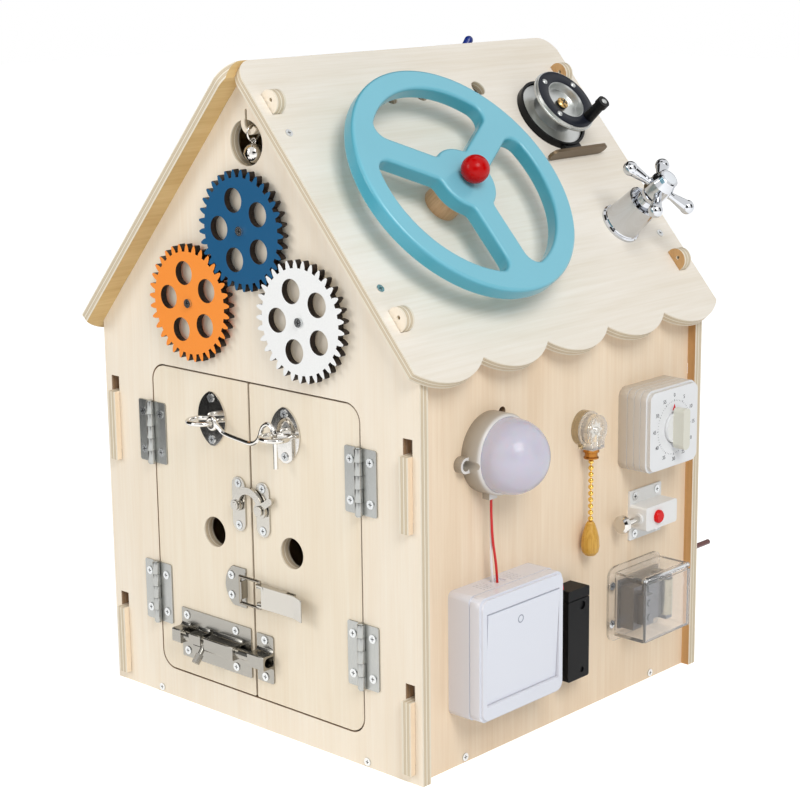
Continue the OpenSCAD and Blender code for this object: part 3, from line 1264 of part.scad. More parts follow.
// the movement's own frame starts on the case's floor
drum_at = [43.5, 13];
drum_z = [9, 36];
module music_movement() color("Silver") wall(music_at[0], music_at[1], music_wall) difference() {
  union() {
    translate([4, 5, 0]) cube([mx - 8, 36, 2]);
    translate([4.5, 6, 1]) cube([10, 32, 13]);
    translate([9, 10, 1]) cube([9.5, 22, 19]);
    for (z = [15, 26]) translate([13.5, z, 20]) cylinder(r = 2.6, h = 1);
    translate([24, 8, 1]) cube([10, 29, 11]);
    translate([22, drum_z[0], 12]) cube([12, drum_z[1] - drum_z[0], 1.2]);
    for (i = [0:comb_teeth - 1]) translate([33, drum_z[0] + (i + 0.2) * comb_pitch, 12])
      cube([drum_at[0] - drum_r - 33.3, comb_pitch * 0.6, 0.9]);
    for (z = [drum_z[0] - 3.2, drum_z[1] + 0.4]) translate([drum_at[0] - 3.5, z, 1])
      cube([7, 2.8, drum_at[1] + 2]);
  }
  translate([drum_at[0], 0, drum_at[1]]) rotate([-90, 0, 0]) cylinder(r = 1.2 + run_gap, h = 60);
}
comb_pitch = (drum_z[1] - drum_z[0]) / comb_teeth;
module music_drum() color("Goldenrod") wall(music_at[0] + drum_at[0], music_at[1], music_wall + drum_at[1])
  rotate([-90, 0, 0]) {
    translate([0, 0, drum_z[0]]) cylinder(r = drum_r - 0.4, h = drum_z[1] - drum_z[0]);
    translate([0, 0, drum_z[0] - 3]) cylinder(r = 1.2, h = drum_z[1] - drum_z[0] + 6);
  }

// ---------- leads and dowels ----------
down = [0, 0, -1];
gland_z = lamp_at[1] - lamp_r - gland_drop;
recess_z = switch_at[1] + switch_w - lead_recess;
switch_side = switch_at[0] + switch_w;
battery_top = battery_at[1] + battery_size[1];
lamp_red = [[158.2, -88.6, gland_z], [158.2, -88.5, 172], [158.6, -87.6, 155], [158.9, -84.8, 138],
  [158.6, -83, recess_z]];
lamp_white = [[156.5, -86.8, gland_z], [156.4, -86.8, 172], [156.3, -86.8, 155], [156.5, -86.6, 138],
  [156.6, -85.2, recess_z]];
battery_red = [[157, switch_side, 102], [157, -29, 107], [157, -21, 109.5], [157, -13.5, 107.5],
  [157, -10.8, battery_top]];
battery_black = [[153.6, switch_side, 93], [153.6, -31, 98], [153.6, -25.5, 104.5], [153.6, -18, 106.5],
  [153.6, -13, 104.5], [153.6, -11.6, battery_top]];
module lamp_leads() color("Red") {
  tube(smooth(lamp_red, 3), lead_r, [1, 0, 0], 8, [down, down]);
  tube(smooth(lamp_white, 3), lead_r, [1, 0, 0], 8, [down, down]);
}
module battery_leads() color("Red") {
  tube(smooth(battery_red, 3), lead_r, [1, 0, 0], 8, [[0, 1, 0], down]);
  tube(smooth(battery_black, 3), lead_r, [1, 0, 0], 8, [[0, 1, 0], down]);
}
module dowels() color("DarkRed") {
  blue_shaft(blue_r, blue_len);
  translate(blue_end) sphere(blue_r, $fn = 24);
  back(dowel_at[0], dowel_at[1], -ply / 2) cylinder(r = dowel_r, h = ply / 2 + dowel_out);
}

front_gable();
back_gable();
right_wall();
left_wall();
floor_panel();
roof_right();
roof_left();
fixings_house();
hinge_leaves_frame();
left_door();
right_door();
hinge_leaves_left();
hinge_leaves_right();
fixings_left();
fixings_right();
eye_plate_left();
eye_plate_right();
cabin_hook();
horn_plate_left();
horn_catch();
horn_arm();
toggle_strike();
toggle_base();
toggle_lever();
toggle_bail();
bolt_plate();
bolt_rod();
bolt_keeper();
gear_blue();
gear_orange();
gear_white();
gear_axles();
bell();
steering_post();
steering_wheel();
steering_ball();
reel_frame();
reel_spool();
reel_knob();
tap_sleeve();
tap_handle();
lamp_base();
lamp_dome();
switch_box();
switch_rocker();
battery_box();
pull_body();
pull_chain();
timer_case();
timer_knob();
latch_body();
latch_rod();
latch_button();
music_case();
music_lid();
music_movement();
music_drum();
lamp_leads();
battery_leads();
dowels();
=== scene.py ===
# %% [markdown]
# # A wooden busy house
#
# A busy house is a small plywood house that a child works at: latched doors, gears, a wheel,
# a tap and a wall of switches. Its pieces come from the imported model, each already at its
# real size and place. This lesson gives them their finishes, softens their edges and adds
# what is modelled here: leads, a printed dial, a reel's face, the wheel and small fittings.

# %% Load the pieces
import math

import bmesh
import bpy
from mathutils import Matrix, Vector


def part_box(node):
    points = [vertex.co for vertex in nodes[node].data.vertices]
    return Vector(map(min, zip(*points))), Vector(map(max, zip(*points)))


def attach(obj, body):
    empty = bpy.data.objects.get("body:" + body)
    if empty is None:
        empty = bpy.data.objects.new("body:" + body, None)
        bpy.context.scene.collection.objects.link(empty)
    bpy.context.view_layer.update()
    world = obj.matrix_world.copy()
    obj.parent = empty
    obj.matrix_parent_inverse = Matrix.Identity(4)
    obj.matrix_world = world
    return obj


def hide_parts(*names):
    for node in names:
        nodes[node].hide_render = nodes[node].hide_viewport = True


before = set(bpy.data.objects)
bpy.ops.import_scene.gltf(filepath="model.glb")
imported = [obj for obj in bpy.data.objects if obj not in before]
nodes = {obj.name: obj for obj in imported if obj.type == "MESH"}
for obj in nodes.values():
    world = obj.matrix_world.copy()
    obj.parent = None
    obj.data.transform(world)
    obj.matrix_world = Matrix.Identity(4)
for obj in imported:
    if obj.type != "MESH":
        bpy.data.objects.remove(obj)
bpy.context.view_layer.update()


def put_in_scene(name, data):
    """A new object that holds the data, at the origin."""
    made = bpy.data.objects.new(name, data)
    bpy.context.scene.collection.objects.link(made)
    return made


# %% [markdown]
# ## The camera
#
# A product picture is taken from a little above, with a long lens, so that upright edges stay
# nearly upright. A lens can be given in millimetres or in pixels of the finished picture; here
# the pixels come first, and the millimetres follow from them.
# The three axes are worked out one by one so that the small roll of the camera is exact.

# %% Camera
picture_px = 800
focal_px = 2029.873
sensor_mm = 36
camera_place = Vector((0.989995, -1.066953, 0.551786))
turned, raised, rolled = (math.radians(a) for a in (43.011, 13.22, -0.687))

backward = Vector((math.sin(turned) * math.cos(raised),
                   -math.cos(turned) * math.cos(raised), math.sin(raised)))
level = Vector((math.cos(turned), math.sin(turned), 0))
upright = level.cross(-backward)
right = math.cos(rolled) * level + math.sin(rolled) * upright
up = math.cos(rolled) * upright - math.sin(rolled) * level

camera = put_in_scene("camera", bpy.data.cameras.new("camera"))
camera.data.sensor_width = sensor_mm
camera.data.lens = focal_px / picture_px * sensor_mm
camera.data.clip_start = 0.05
camera.data.clip_end = 20
camera_turn = Matrix((right, up, backward)).transposed().to_4x4()
camera.matrix_world = Matrix.Translation(camera_place) @ camera_turn
bpy.context.scene.camera = camera
print(f"lens {camera.data.lens:.2f} mm")

# %% [markdown]
# ## Frames to build in
#
# Every fitting sits flat on some face of the house. It is easier to model a dial lying flat
# and then stand it on the wall than to model it standing. So each face gets a frame: a matrix
# whose local z points out of that face. The places are those of the pieces themselves, read
# from their boxes where that is possible.

# %% Frames of the faces
mm = 0.001
wall_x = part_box("right_wall")[1].x
front_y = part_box("front_gable")[0].y
roof_pitch = math.radians(49.5)
roof_sheet = 7 * mm
gable_top = 455 * mm
ridge = Vector((0, 0, gable_top + roof_sheet / math.cos(roof_pitch)))
roof_out = Vector((math.sin(roof_pitch), 0, math.cos(roof_pitch)))


def on_wall(y, z, out=0.0):
    """Frame on the right wall: local x runs to the back, y up, z out of the wall."""
    return Matrix(((0, 0, 1, wall_x + out), (1, 0, 0, y), (0, 1, 0, z), (0, 0, 0, 1)))


def on_roof(down, along, out=0.0):
    """Frame on the right roof panel: local x runs down the slope, y to the back, z out of it."""
    tilt = Matrix.Rotation(roof_pitch, 4, "Y")
    return Matrix.Translation(ridge) @ tilt @ Matrix.Translation((down, along, out))


# %% [markdown]
# ## Writing a finish
#
# A finish is one Principled shader fed by a few nodes. Three small helpers keep that short:
# one starts a finish, one adds a node and plugs its sockets, one does sums. Colours are
# written the way a paint chart gives them, from 0 to 255, and turned into linear light.

# %% Helpers for finishes


def shade(red, green, blue):
    """A paint chart colour as linear light."""
    parts = [c / 255 for c in (red, green, blue)]
    return (*[p / 12.92 if p <= 0.04045 else ((p + 0.055) / 1.055) ** 2.4 for p in parts], 1)


def finish(name, colour, roughness, **sockets):
    """Starts a material; further sockets are named with _ for a space."""
    made = bpy.data.materials.new(name)
    made.use_nodes = True
    shader = made.node_tree.nodes["Principled BSDF"]
    shader.inputs["Base Color"].default_value = colour
    shader.inputs["Roughness"].default_value = roughness
    for socket, value in sockets.items():
        shader.inputs[socket.replace("_", " ")].default_value = value
    return made


def node(made, kind, feeds=None, **settings):
    """Adds a node. feeds gives its inputs, by name or number, a socket to plug in or a value."""
    added = made.node_tree.nodes.new("ShaderNode" + kind)
    for key, value in settings.items():
        setattr(added, key, value)
    for key, feed in (feeds or {}).items():
        if isinstance(feed, bpy.types.NodeSocket):
            made.node_tree.links.new(feed, added.inputs[key])
        else:
            added.inputs[key].default_value = feed
    return added


def sums(made, operation, a, b=0.0, c=0.0):
    """One arithmetic step on up to three numbers or sockets."""
    return node(made, "Math", {0: a, 1: b, 2: c}, operation=operation).outputs[0]


def reach(made, vector, direction):
    """How far a point lies along a direction."""
    return node(made, "VectorMath", {0: vector, 1: direction}, operation="DOT_PRODUCT").outputs["Value"]


def blend(made, share, one, other):
    """A colour between two colours."""
    return node(made, "Mix", {0: share, 6: one, 7: other}, data_type="RGBA").outputs[2]


def ramp(made, value, stops):
    """Colours along a value; stops are (place, colour)."""
    added = node(made, "ValToRGB", {0: value})
    band = added.color_ramp
    while len(band.elements) < len(stops):
        band.elements.new(1)
    for element, (place, colour) in zip(band.elements, stops):
        element.position = place
        element.color = colour
    return added.outputs[0]


def cloud(made, vector, scale, detail=2.0, rough=0.5):
    """Soft noise from 0 to 1."""
    feeds = {"Vector": vector, "Scale": scale, "Detail": detail, "Roughness": rough}
    return node(made, "TexNoise", feeds).outputs[0]


def place_of(made):
    """Where a point of the piece is, and which way its surface faces there."""
    spot = node(made, "TexCoord")
    return spot.outputs["Object"], spot.outputs["Normal"]


def feed_shader(made, **sockets):
    """Plugs sockets into the finish's shader."""
    shader = made.node_tree.nodes["Principled BSDF"]
    for name, source in sockets.items():
        made.node_tree.links.new(source, shader.inputs[name.replace("_", " ")])


def emboss(made, height, depth, strength):
    """Raises the surface by a height of 0 to 1 times depth, in metres."""
    feeds = {"Strength": strength, "Distance": depth, "Height": height}
    feed_shader(made, Normal=node(made, "Bump", feeds).outputs[0])


# %% [markdown]
# ## Birch plywood
#
# Plywood has two very different surfaces. Its face is one thin veneer with long, faint fibres;
# its edge shows the plies, pale and dark in turn, because every second one is cut across its
# grain. One material can hold both: the way the surface faces tells face from edge, and the
# depth into the sheet tells which ply an edge shows. A laser leaves the inner cuts toasted
# brown, while outer edges are sawn and stay pale.

# %% Plywood
edge_pale = shade(236, 226, 206)
edge_line = shade(176, 152, 118)
edge_mid = shade(216, 200, 172)
toast = shade(136, 92, 50)
face_on = 0.6  # how squarely a surface must face outward to be a sheet's face
plies = [(0.0, edge_pale), (0.17, edge_pale), (0.2, edge_line), (0.23, edge_mid), (0.37, edge_mid),
         (0.4, edge_line), (0.43, edge_pale), (0.57, edge_pale), (0.6, edge_line), (0.63, edge_mid),
         (0.77, edge_mid), (0.8, edge_line), (0.83, edge_pale)]


def plywood(name, pale, warm, sheet, grain, toasted=None, veining=1.0, browning=0.72, inside=None):
    """Birch ply. sheet is (outward direction, its outer face, thickness), grain the fibres' way,
    toasted (direction, limit, ceiling) the part of the sheet, up to a height, whose cut edges
    the laser browned, and inside the darker colours, painted shade, of the face that looks into the
    house."""
    outward, outer, thickness = Vector(sheet[0]), sheet[1], sheet[2]
    made = finish(name, pale, 0.52, Specular_IOR_Level=0.35)
    spot, facing = place_of(made)
    along = reach(made, spot, Vector(grain))
    across = reach(made, spot, outward.cross(Vector(grain)))
    depth = reach(made, spot, outward)

    def stretched(run):
        shortened = sums(made, "DIVIDE", along, run)
        return node(made, "CombineXYZ", {0: across, 1: shortened, 2: depth}).outputs[0]

    fibre = cloud(made, stretched(36), 420, 4, 0.65)
    figure = cloud(made, stretched(9), 48, 3, 0.55)
    tone = sums(made, "ADD", sums(made, "MULTIPLY", fibre, 0.45), sums(made, "MULTIPLY", figure, 0.55))
    tone = node(made, "MapRange", {"Value": tone, "From Min": 0.36, "From Max": 0.66}).outputs[0]
    face = blend(made, sums(made, "MULTIPLY", tone, veining), pale, warm)
    # Painted shade: the face that looks into the house takes the darker inside colours.
    if inside:
        shaded_inside_face = sums(made, "LESS_THAN", reach(made, facing, outward), -face_on)
        face = blend(made, shaded_inside_face, face, blend(made, tone, inside[0], inside[1]))

    ragged = sums(made, "MULTIPLY", cloud(made, spot, 150, 2), 0.05)
    ply = sums(made, "DIVIDE", sums(made, "SUBTRACT", outer, depth), thickness)
    edge = ramp(made, sums(made, "ADD", ply, ragged), plies)
    if toasted:
        away = sums(made, "ABSOLUTE", reach(made, spot, Vector(toasted[0])))
        under = sums(made, "LESS_THAN", reach(made, spot, (0, 0, 1)), toasted[2])
        browned = sums(made, "MULTIPLY", sums(made, "LESS_THAN", away, toasted[1]), browning)
        browned = sums(made, "MULTIPLY", browned, under)
        edge = blend(made, browned, edge, toast)
    flat = sums(made, "GREATER_THAN", sums(made, "ABSOLUTE", reach(made, facing, outward)), face_on)
    feed_shader(made, Base_Color=blend(made, flat, edge, face))
    emboss(made, fibre, 0.00012, 0.35)
    return made


ply_thick = 8 * mm
upward = (0, 0, 1)
out_front, out_back, out_right, out_left = (0, -1, 0), (0, 1, 0), (1, 0, 0), (-1, 0, 0)
left_roof_out = Vector((-roof_out.x, 0, roof_out.z))
front_sheet = (out_front, -front_y, ply_thick)
gable_cuts = (out_right, 0.149, 0.27)
wall_cuts = (out_back, 0.14, 0.3)
door_cuts = (out_right, 1.0, 0.3)
gable_ply = plywood("gable_ply", shade(250, 239, 221), shade(240, 222, 196), front_sheet, upward,
                    gable_cuts, 0.65)
# The back gable's inner face is painted tan as shade.
back_ply = plywood("back_ply", shade(246, 233, 212), shade(236, 216, 188),
                   (out_back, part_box("back_gable")[1].y, ply_thick), upward,
                   inside=(shade(216, 172, 118), shade(190, 144, 92)))
wall_ply = plywood("wall_ply", shade(247, 228, 202), shade(232, 205, 172),
                   (out_right, wall_x, ply_thick), upward, wall_cuts, 0.75)
left_ply = plywood("left_ply", shade(247, 230, 205), shade(234, 209, 177),
                   (out_left, wall_x, ply_thick), upward, wall_cuts, 0.75)
door_ply = plywood("door_ply", shade(247, 235, 214), shade(236, 217, 188), front_sheet, upward,
                   door_cuts, 0.65, 0.15)
floor_ply = plywood("floor_ply", shade(244, 230, 207), shade(231, 210, 180),
                    (upward, ply_thick, ply_thick), out_right)
roof_ply = plywood("roof_ply", shade(249, 242, 231), shade(234, 223, 204),
                   (roof_out, roof_out.dot(ridge), roof_sheet), out_back, veining=0.8)
# The underside of the left roof is painted tan as the shade under its overhang.
roof_left_ply = plywood("roof_left_ply", shade(248, 238, 221), shade(232, 216, 190),
                        (left_roof_out, left_roof_out.dot(ridge), roof_sheet), out_back,
                        inside=(shade(226, 196, 140), shade(204, 168, 108)))

# %% [markdown]
# ## Painted wood
#
# The gears are cut by laser from a thin painted sheet, so their faces are satin paint and
# their tooth flanks are charred almost black, with a little raw wood showing through. The
# wheel was painted after shaping, so it is one even coat with the faint ripple of a roller;
# the sides of its board are painted a deeper teal as shade.

# %% Paints
char = shade(12, 6, 3)
char_light = shade(64, 36, 16)


def painted_sheet(name, colour):
    """Satin paint on the faces of a front-facing sheet, charred wood on its cut edges."""
    made = finish(name, colour, 0.42, Specular_IOR_Level=0.4)
    spot, facing = place_of(made)
    mottle = cloud(made, spot, 900, 3, 0.6)
    tone = sums(made, "MULTIPLY_ADD", mottle, 0.14, 0.93)
    worn = node(made, "HueSaturation", {"Color": colour, "Value": tone})
    scorch = sums(made, "POWER", cloud(made, spot, 260, 3, 0.6), 3.0)
    charred = blend(made, scorch, char, char_light)
    flat = sums(made, "GREATER_THAN", sums(made, "ABSOLUTE", reach(made, facing, out_front)), face_on)
    feed_shader(made, Base_Color=blend(made, flat, charred, worn.outputs[0]))
    emboss(made, mottle, 0.0001, 0.5)
    return made


def painted(name, colour, roughness, ripple=0.3, shaded_flanks=None, gloss=0.5):
    """One even coat of paint, with the faint ripple of a roller. flanks is (outward direction,
    colour): a deeper colour painted on the sides of a board as shade."""
    made = finish(name, colour, roughness, Specular_IOR_Level=gloss,
                  Coat_Weight=gloss / 2, Coat_Roughness=0.2)
    spot, facing = place_of(made)
    # Painted shade: the sides of the board take the deeper colour.
    if shaded_flanks:
        square_on = sums(made, "ABSOLUTE", reach(made, facing, shaded_flanks[0]))
        share = node(made, "MapRange", {"Value": square_on, "From Min": 0.35, "From Max": 0.9}).outputs[0]
        colour = blend(made, share, shaded_flanks[1], colour)
    wave = cloud(made, spot, 420, 2, 0.5)
    broad = cloud(made, spot, 18, 2, 0.5)
    tone = sums(made, "MULTIPLY_ADD", broad, 0.08, 0.96)
    toned = node(made, "HueSaturation", {"Color": colour, "Value": tone})
    feed_shader(made, Base_Color=toned.outputs[0])
    emboss(made, wave, 0.00015, ripple)
    return made


blue_sheet = painted_sheet("blue_sheet", shade(3, 86, 130))
orange_sheet = painted_sheet("orange_sheet", shade(255, 150, 52))
white_sheet = painted_sheet("white_sheet", shade(246, 246, 244))
# The wheel's sides are painted a deeper teal as shade.
wheel_paint = painted("wheel_paint", shade(120, 193, 211), 0.3,
                      shaded_flanks=(roof_out, shade(72, 164, 184)))
ball_paint = painted("ball_paint", shade(192, 1, 2), 0.22, 0.1, gloss=0.16)

# %% [markdown]
# ## Metals
#
# Bright metal has hardly a colour of its own: it shows what is around it. What tells one metal
# from another is how sharp that mirror is. Chrome is nearly perfect, nickel wire is a little
# soft, and stamped zinc plate is brushed in one direction, which a stretched noise gives.

# %% Metals


def metal(name, colour, roughness, brushed=None, wear=0.12, grain=160):
    """Bare metal; brushed is the way its fine lines run, and without lines grain is how fine
    the cast surface is."""
    made = finish(name, colour, roughness, Metallic=1.0)
    spot, _ = place_of(made)
    if brushed:
        stretch = [0.03 if b else 1.0 for b in brushed]
        lines = node(made, "Mapping", {"Vector": spot, "Scale": stretch}).outputs[0]
        streak = cloud(made, lines, 2600, 2, 0.6)
    else:
        streak = cloud(made, spot, grain, 4, 0.6)
    feed_shader(made, Roughness=sums(made, "MULTIPLY_ADD", streak, wear, max(roughness - wear / 2, 0.02)))
    emboss(made, streak, 0.00006, 0.25)
    return made


zinc = metal("zinc_plate", shade(174, 175, 172), 0.3, (0, 0, 1), 0.2)
screw_steel = metal("screw_steel", shade(212, 214, 214), 0.24, None, 0.1, 900)
pressed_plate = metal("pressed_plate", shade(192, 188, 180), 0.2, (1, 0, 0), 0.12)
bail_wire = metal("bail_wire", shade(150, 142, 130), 0.2, None, 0.1)
nickel = metal("nickel_wire", shade(216, 213, 208), 0.1, None, 0.08)
satin_nickel = metal("satin_nickel", shade(160, 157, 150), 0.24, (1, 0, 0), 0.14)
chrome = metal("tap_chrome", shade(206, 208, 212), 0.04, None, 0.02)
cast_silver = metal("reel_silver", shade(204, 206, 204), 0.34, None, 0.08, 1500)
brass = metal("brass", shade(206, 170, 112), 0.26, None, 0.08, 900)
bronze = metal("nozzle_bronze", shade(168, 112, 52), 0.24, None, 0.12)
dull_iron = metal("movement_metal", shade(98, 99, 103), 0.3, (0, 1, 0), 0.16)
drum_brass = metal("drum_brass", shade(168, 160, 138), 0.28, (0, 1, 0), 0.14)

# %% [markdown]
# ## Plastics
#
# Moulded plastic is an even colour under a clear gloss. A mould is never perfectly smooth, so
# a very fine bump keeps the highlights from looking like glass. Clear plastic lets light pass:
# the shader bends the view, and for rays that go to a lamp it is swapped for a plain
# transparent one, so that what is inside the case is lit.

# %% Plastics


def plastic(name, colour, roughness, texture=0.15, scale=1400, **sockets):
    """Moulded plastic with a fine mould texture."""
    made = finish(name, colour, roughness, **sockets)
    spot, _ = place_of(made)
    skin = cloud(made, spot, scale, 2, 0.5)
    feed_shader(made, Roughness=sums(made, "MULTIPLY_ADD", skin, 0.06, max(roughness - 0.03, 0.02)))
    emboss(made, skin, 0.00008, texture)
    return made


def clear(name, colour, roughness, clearness):
    """Clear plastic that lets the lamps reach what is behind it; clearness below 1 is milky."""
    made = plastic(name, colour, roughness, 0.05, 500, Transmission_Weight=clearness, IOR=1.4)
    tree = made.node_tree
    shader = tree.nodes["Principled BSDF"]
    path = node(made, "LightPath").outputs
    lighting = sums(made, "MAXIMUM", path["Is Shadow Ray"], path["Is Diffuse Ray"])
    through = node(made, "BsdfTransparent", {"Color": (0.96, 0.96, 0.96, 1)}).outputs[0]
    mixed = node(made, "MixShader", {0: lighting, 1: shader.outputs[0], 2: through}).outputs[0]
    tree.links.new(mixed, tree.nodes["Material Output"].inputs["Surface"])
    return made


def housing(name, front, side, shade_near_wall, depth, roughness, texture=0.1):
    """A pale housing on the wall: its front colour, and sides painted darker as shade, darkest and
    warmest towards the wall as painted occlusion and light bounced from the wood.
    """
    made = plastic(name, front, roughness, texture)
    spot, facing = place_of(made)
    out = sums(made, "DIVIDE", sums(made, "SUBTRACT", reach(made, spot, out_right), wall_x), depth)
    # Painted shade and bounced light: the side colour darkens and warms towards the wall.
    sides = blend(made, node(made, "Clamp", {0: out}).outputs[0], shade_near_wall, side)
    squarely = reach(made, facing, out_right)
    forward = node(made, "MapRange", {"Value": squarely, "From Min": 0.25, "From Max": 0.8})
    feed_shader(made, Base_Color=blend(made, forward.outputs[0], sides, front))
    return made


# The side and near-wall colours of each housing are painted shade and bounced light, not the plastic's
# own colour.
lamp_white = housing("lamp_white", shade(228, 225, 222), shade(184, 175, 162),
                     shade(150, 138, 122), 15 * mm, 0.36)
dome_milk = plastic("lamp_dome", shade(204, 200, 214), 0.16, 0.03, 900, Subsurface_Weight=0.35,
                    Subsurface_Scale=0.006, Specular_IOR_Level=0.35)
switch_white = housing("switch_white", shade(226, 229, 238), shade(230, 229, 234),
                       shade(220, 218, 223), 28 * mm, 0.2)
battery_black = plastic("battery_black", shade(6, 7, 9), 0.42, 0.4, 2200, Specular_IOR_Level=0.14)
timer_white = housing("timer_white", shade(234, 235, 236), shade(220, 216, 210),
                      shade(192, 180, 164), 27 * mm, 0.3)
rocker_white = plastic("rocker_white", shade(228, 231, 240), 0.2, 0.06)
knob_cream = plastic("knob_cream", shade(234, 235, 235), 0.3)
knob_spot, _ = place_of(knob_cream)
disc_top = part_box("timer_case")[1].x + 2.1 * mm
past_disc = sums(knob_cream, "GREATER_THAN", reach(knob_cream, knob_spot, out_right), disc_top)
knob_colour = blend(knob_cream, past_disc, shade(234, 235, 235), shade(222, 220, 206))
feed_shader(knob_cream, Base_Color=knob_colour)
latch_white = plastic("latch_white", shade(236, 236, 234), 0.32)
button_red = plastic("button_red", shade(224, 16, 16), 0.26, Specular_IOR_Level=0.2)
reel_dark = shade(8, 9, 11)
reel_black = plastic("reel_black", reel_dark, 0.34, 0.3, 2000, Specular_IOR_Level=0.2)
reel_face = plastic("reel_face_black", shade(24, 28, 38), 0.4, 0.3, 2000, Specular_IOR_Level=0.25)
mark_grey = plastic("mark_grey", shade(150, 156, 170), 0.5)
dial_ink = plastic("dial_ink", shade(52, 54, 60), 0.6)
dial_red = plastic("dial_red", shade(224, 32, 44), 0.5)
enamel = plastic("enamel", shade(232, 236, 240), 0.14, 0.03)
red_lead = plastic("red_lead", shade(206, 18, 20), 0.3, 0.1)
white_lead = plastic("white_lead", shade(236, 232, 232), 0.34, 0.1)
black_lead = plastic("black_lead", shade(24, 22, 24), 0.34, 0.1)
clear_case = clear("clear_case", (0.99, 0.99, 0.995, 1), 0.04, 0.94)
clear_tint = (0.97, 0.96, 0.92, 1)
clear_switch = clear("clear_switch", clear_tint, 0.1, 0.72)
switch_spot, _ = place_of(clear_switch)
cream = sums(clear_switch, "LESS_THAN", reach(clear_switch, switch_spot, out_right), wall_x + 6 * mm)
feed_shader(clear_switch, Base_Color=blend(clear_switch, cream, clear_tint, shade(232, 206, 158)))

# %% [markdown]
# ## Turned and painted wood
#
# The wheel's post is plain beech: short fibres along the post and small darker flecks. The
# pendant of the pull chain is the same wood under amber varnish, and the two sticks that
# stand out of the house are dipped in paint, one blue and one dark red with a bare end.

# %% Small wood


def turned_wood(name, pale, dark, axis, roughness):
    """Solid wood whose fibres run along axis."""
    made = finish(name, pale, roughness)
    spot, _ = place_of(made)
    along = reach(made, spot, Vector(axis))
    back = sums(made, "MULTIPLY", along, -0.93)
    drawn = node(made, "VectorMath", {0: axis, "Scale": back}, operation="SCALE")
    fibres = node(made, "VectorMath", {0: spot, 1: drawn.outputs[0]}, operation="ADD").outputs[0]
    streak = cloud(made, fibres, 900, 3, 0.6)
    fleck = node(made, "MapRange", {"Value": streak, "From Min": 0.42, "From Max": 0.62}).outputs[0]
    feed_shader(made, Base_Color=blend(made, fleck, pale, dark))
    emboss(made, streak, 0.0001, 0.4)
    return made


post_wood = turned_wood("post_wood", shade(214, 172, 130), shade(202, 158, 116), roof_out, 0.5)
pendant_wood = turned_wood("pendant_wood", shade(214, 166, 70), shade(198, 146, 52), upward, 0.4)
pendant_top = 143 * mm
pendant_spot, _ = place_of(pendant_wood)
above = sums(pendant_wood, "GREATER_THAN", reach(pendant_wood, pendant_spot, upward), pendant_top)
wood_colour = pendant_wood.node_tree.nodes["Principled BSDF"].inputs["Base Color"].links[0].from_socket
feed_shader(pendant_wood, Metallic=above,
            Base_Color=blend(pendant_wood, above, wood_colour, shade(236, 196, 104)),
            Roughness=sums(pendant_wood, "MULTIPLY_ADD", above, -0.24, 0.4))
stick_blue, stick_red, stick_bare = shade(16, 44, 128), shade(92, 32, 26), shade(196, 170, 140)
between_sticks = 0.3
stick_paint = finish("stick_paint", stick_blue, 0.28, Coat_Weight=0.3)
stick_spot, stick_facing = place_of(stick_paint)
low = sums(stick_paint, "LESS_THAN", reach(stick_paint, stick_spot, upward), between_sticks)
end = sums(stick_paint, "GREATER_THAN", reach(stick_paint, stick_facing, out_back), 0.9)
dipped = blend(stick_paint, low, stick_blue, stick_red)
tip = sums(stick_paint, "MULTIPLY", low, end)
feed_shader(stick_paint, Base_Color=blend(stick_paint, tip, dipped, stick_bare))
emboss(stick_paint, cloud(stick_paint, stick_spot, 500, 2), 0.0001, 0.4)

# %% [markdown]
# ## Dressing the pieces
#
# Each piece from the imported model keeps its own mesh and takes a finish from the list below,
# the way a workshop tags parts for the paint room. Nothing real has a knife-sharp edge, so a
# weld and a narrow bevel round the edges that catch the light.

# %% Give each node its finish
dressing = {
    gable_ply: ["front_gable"], back_ply: ["back_gable"], wall_ply: ["right_wall"],
    left_ply: ["left_wall"], floor_ply: ["floor_panel"], roof_ply: ["roof_right"],
    roof_left_ply: ["roof_left"], door_ply: ["left_door", "right_door"],
    zinc: ["hinge_leaves_frame", "hinge_leaves_left", "hinge_leaves_right"],
    screw_steel: ["fixings_house", "fixings_left", "fixings_right", "gear_axles"],
    pressed_plate: ["horn_plate_left", "horn_catch", "horn_arm", "toggle_lever"],
    bail_wire: ["toggle_bail"],
    satin_nickel: ["bolt_plate", "bolt_rod", "bolt_keeper", "toggle_strike", "toggle_base"],
    nickel: ["eye_plate_left", "eye_plate_right", "cabin_hook", "bell", "latch_rod"],
    blue_sheet: ["gear_blue"], orange_sheet: ["gear_orange"], white_sheet: ["gear_white"],
    post_wood: ["steering_post"], wheel_paint: ["steering_wheel"], ball_paint: ["steering_ball"],
    reel_black: ["reel_frame", "reel_knob"], cast_silver: ["reel_spool"],
    chrome: ["tap_sleeve", "tap_handle"], lamp_white: ["lamp_base"], dome_milk: ["lamp_dome"],
    switch_white: ["switch_box"], rocker_white: ["switch_rocker"], battery_black: ["battery_box"],
    clear_switch: ["pull_body"], pendant_wood: ["pull_chain"], timer_white: ["timer_case"],
    knob_cream: ["timer_knob"], latch_white: ["latch_body"], button_red: ["latch_button"],
    clear_case: ["music_case", "music_lid"], dull_iron: ["music_movement"],
    drum_brass: ["music_drum"], red_lead: ["lamp_leads", "battery_leads"], stick_paint: ["dowels"],
}
for paint, names in dressing.items():
    for name in names:
        for held in nodes[name].material_slots:
            held.material = paint
print(f"{sum(len(names) for names in dressing.values())} nodes dressed in {len(dressing)} finishes")

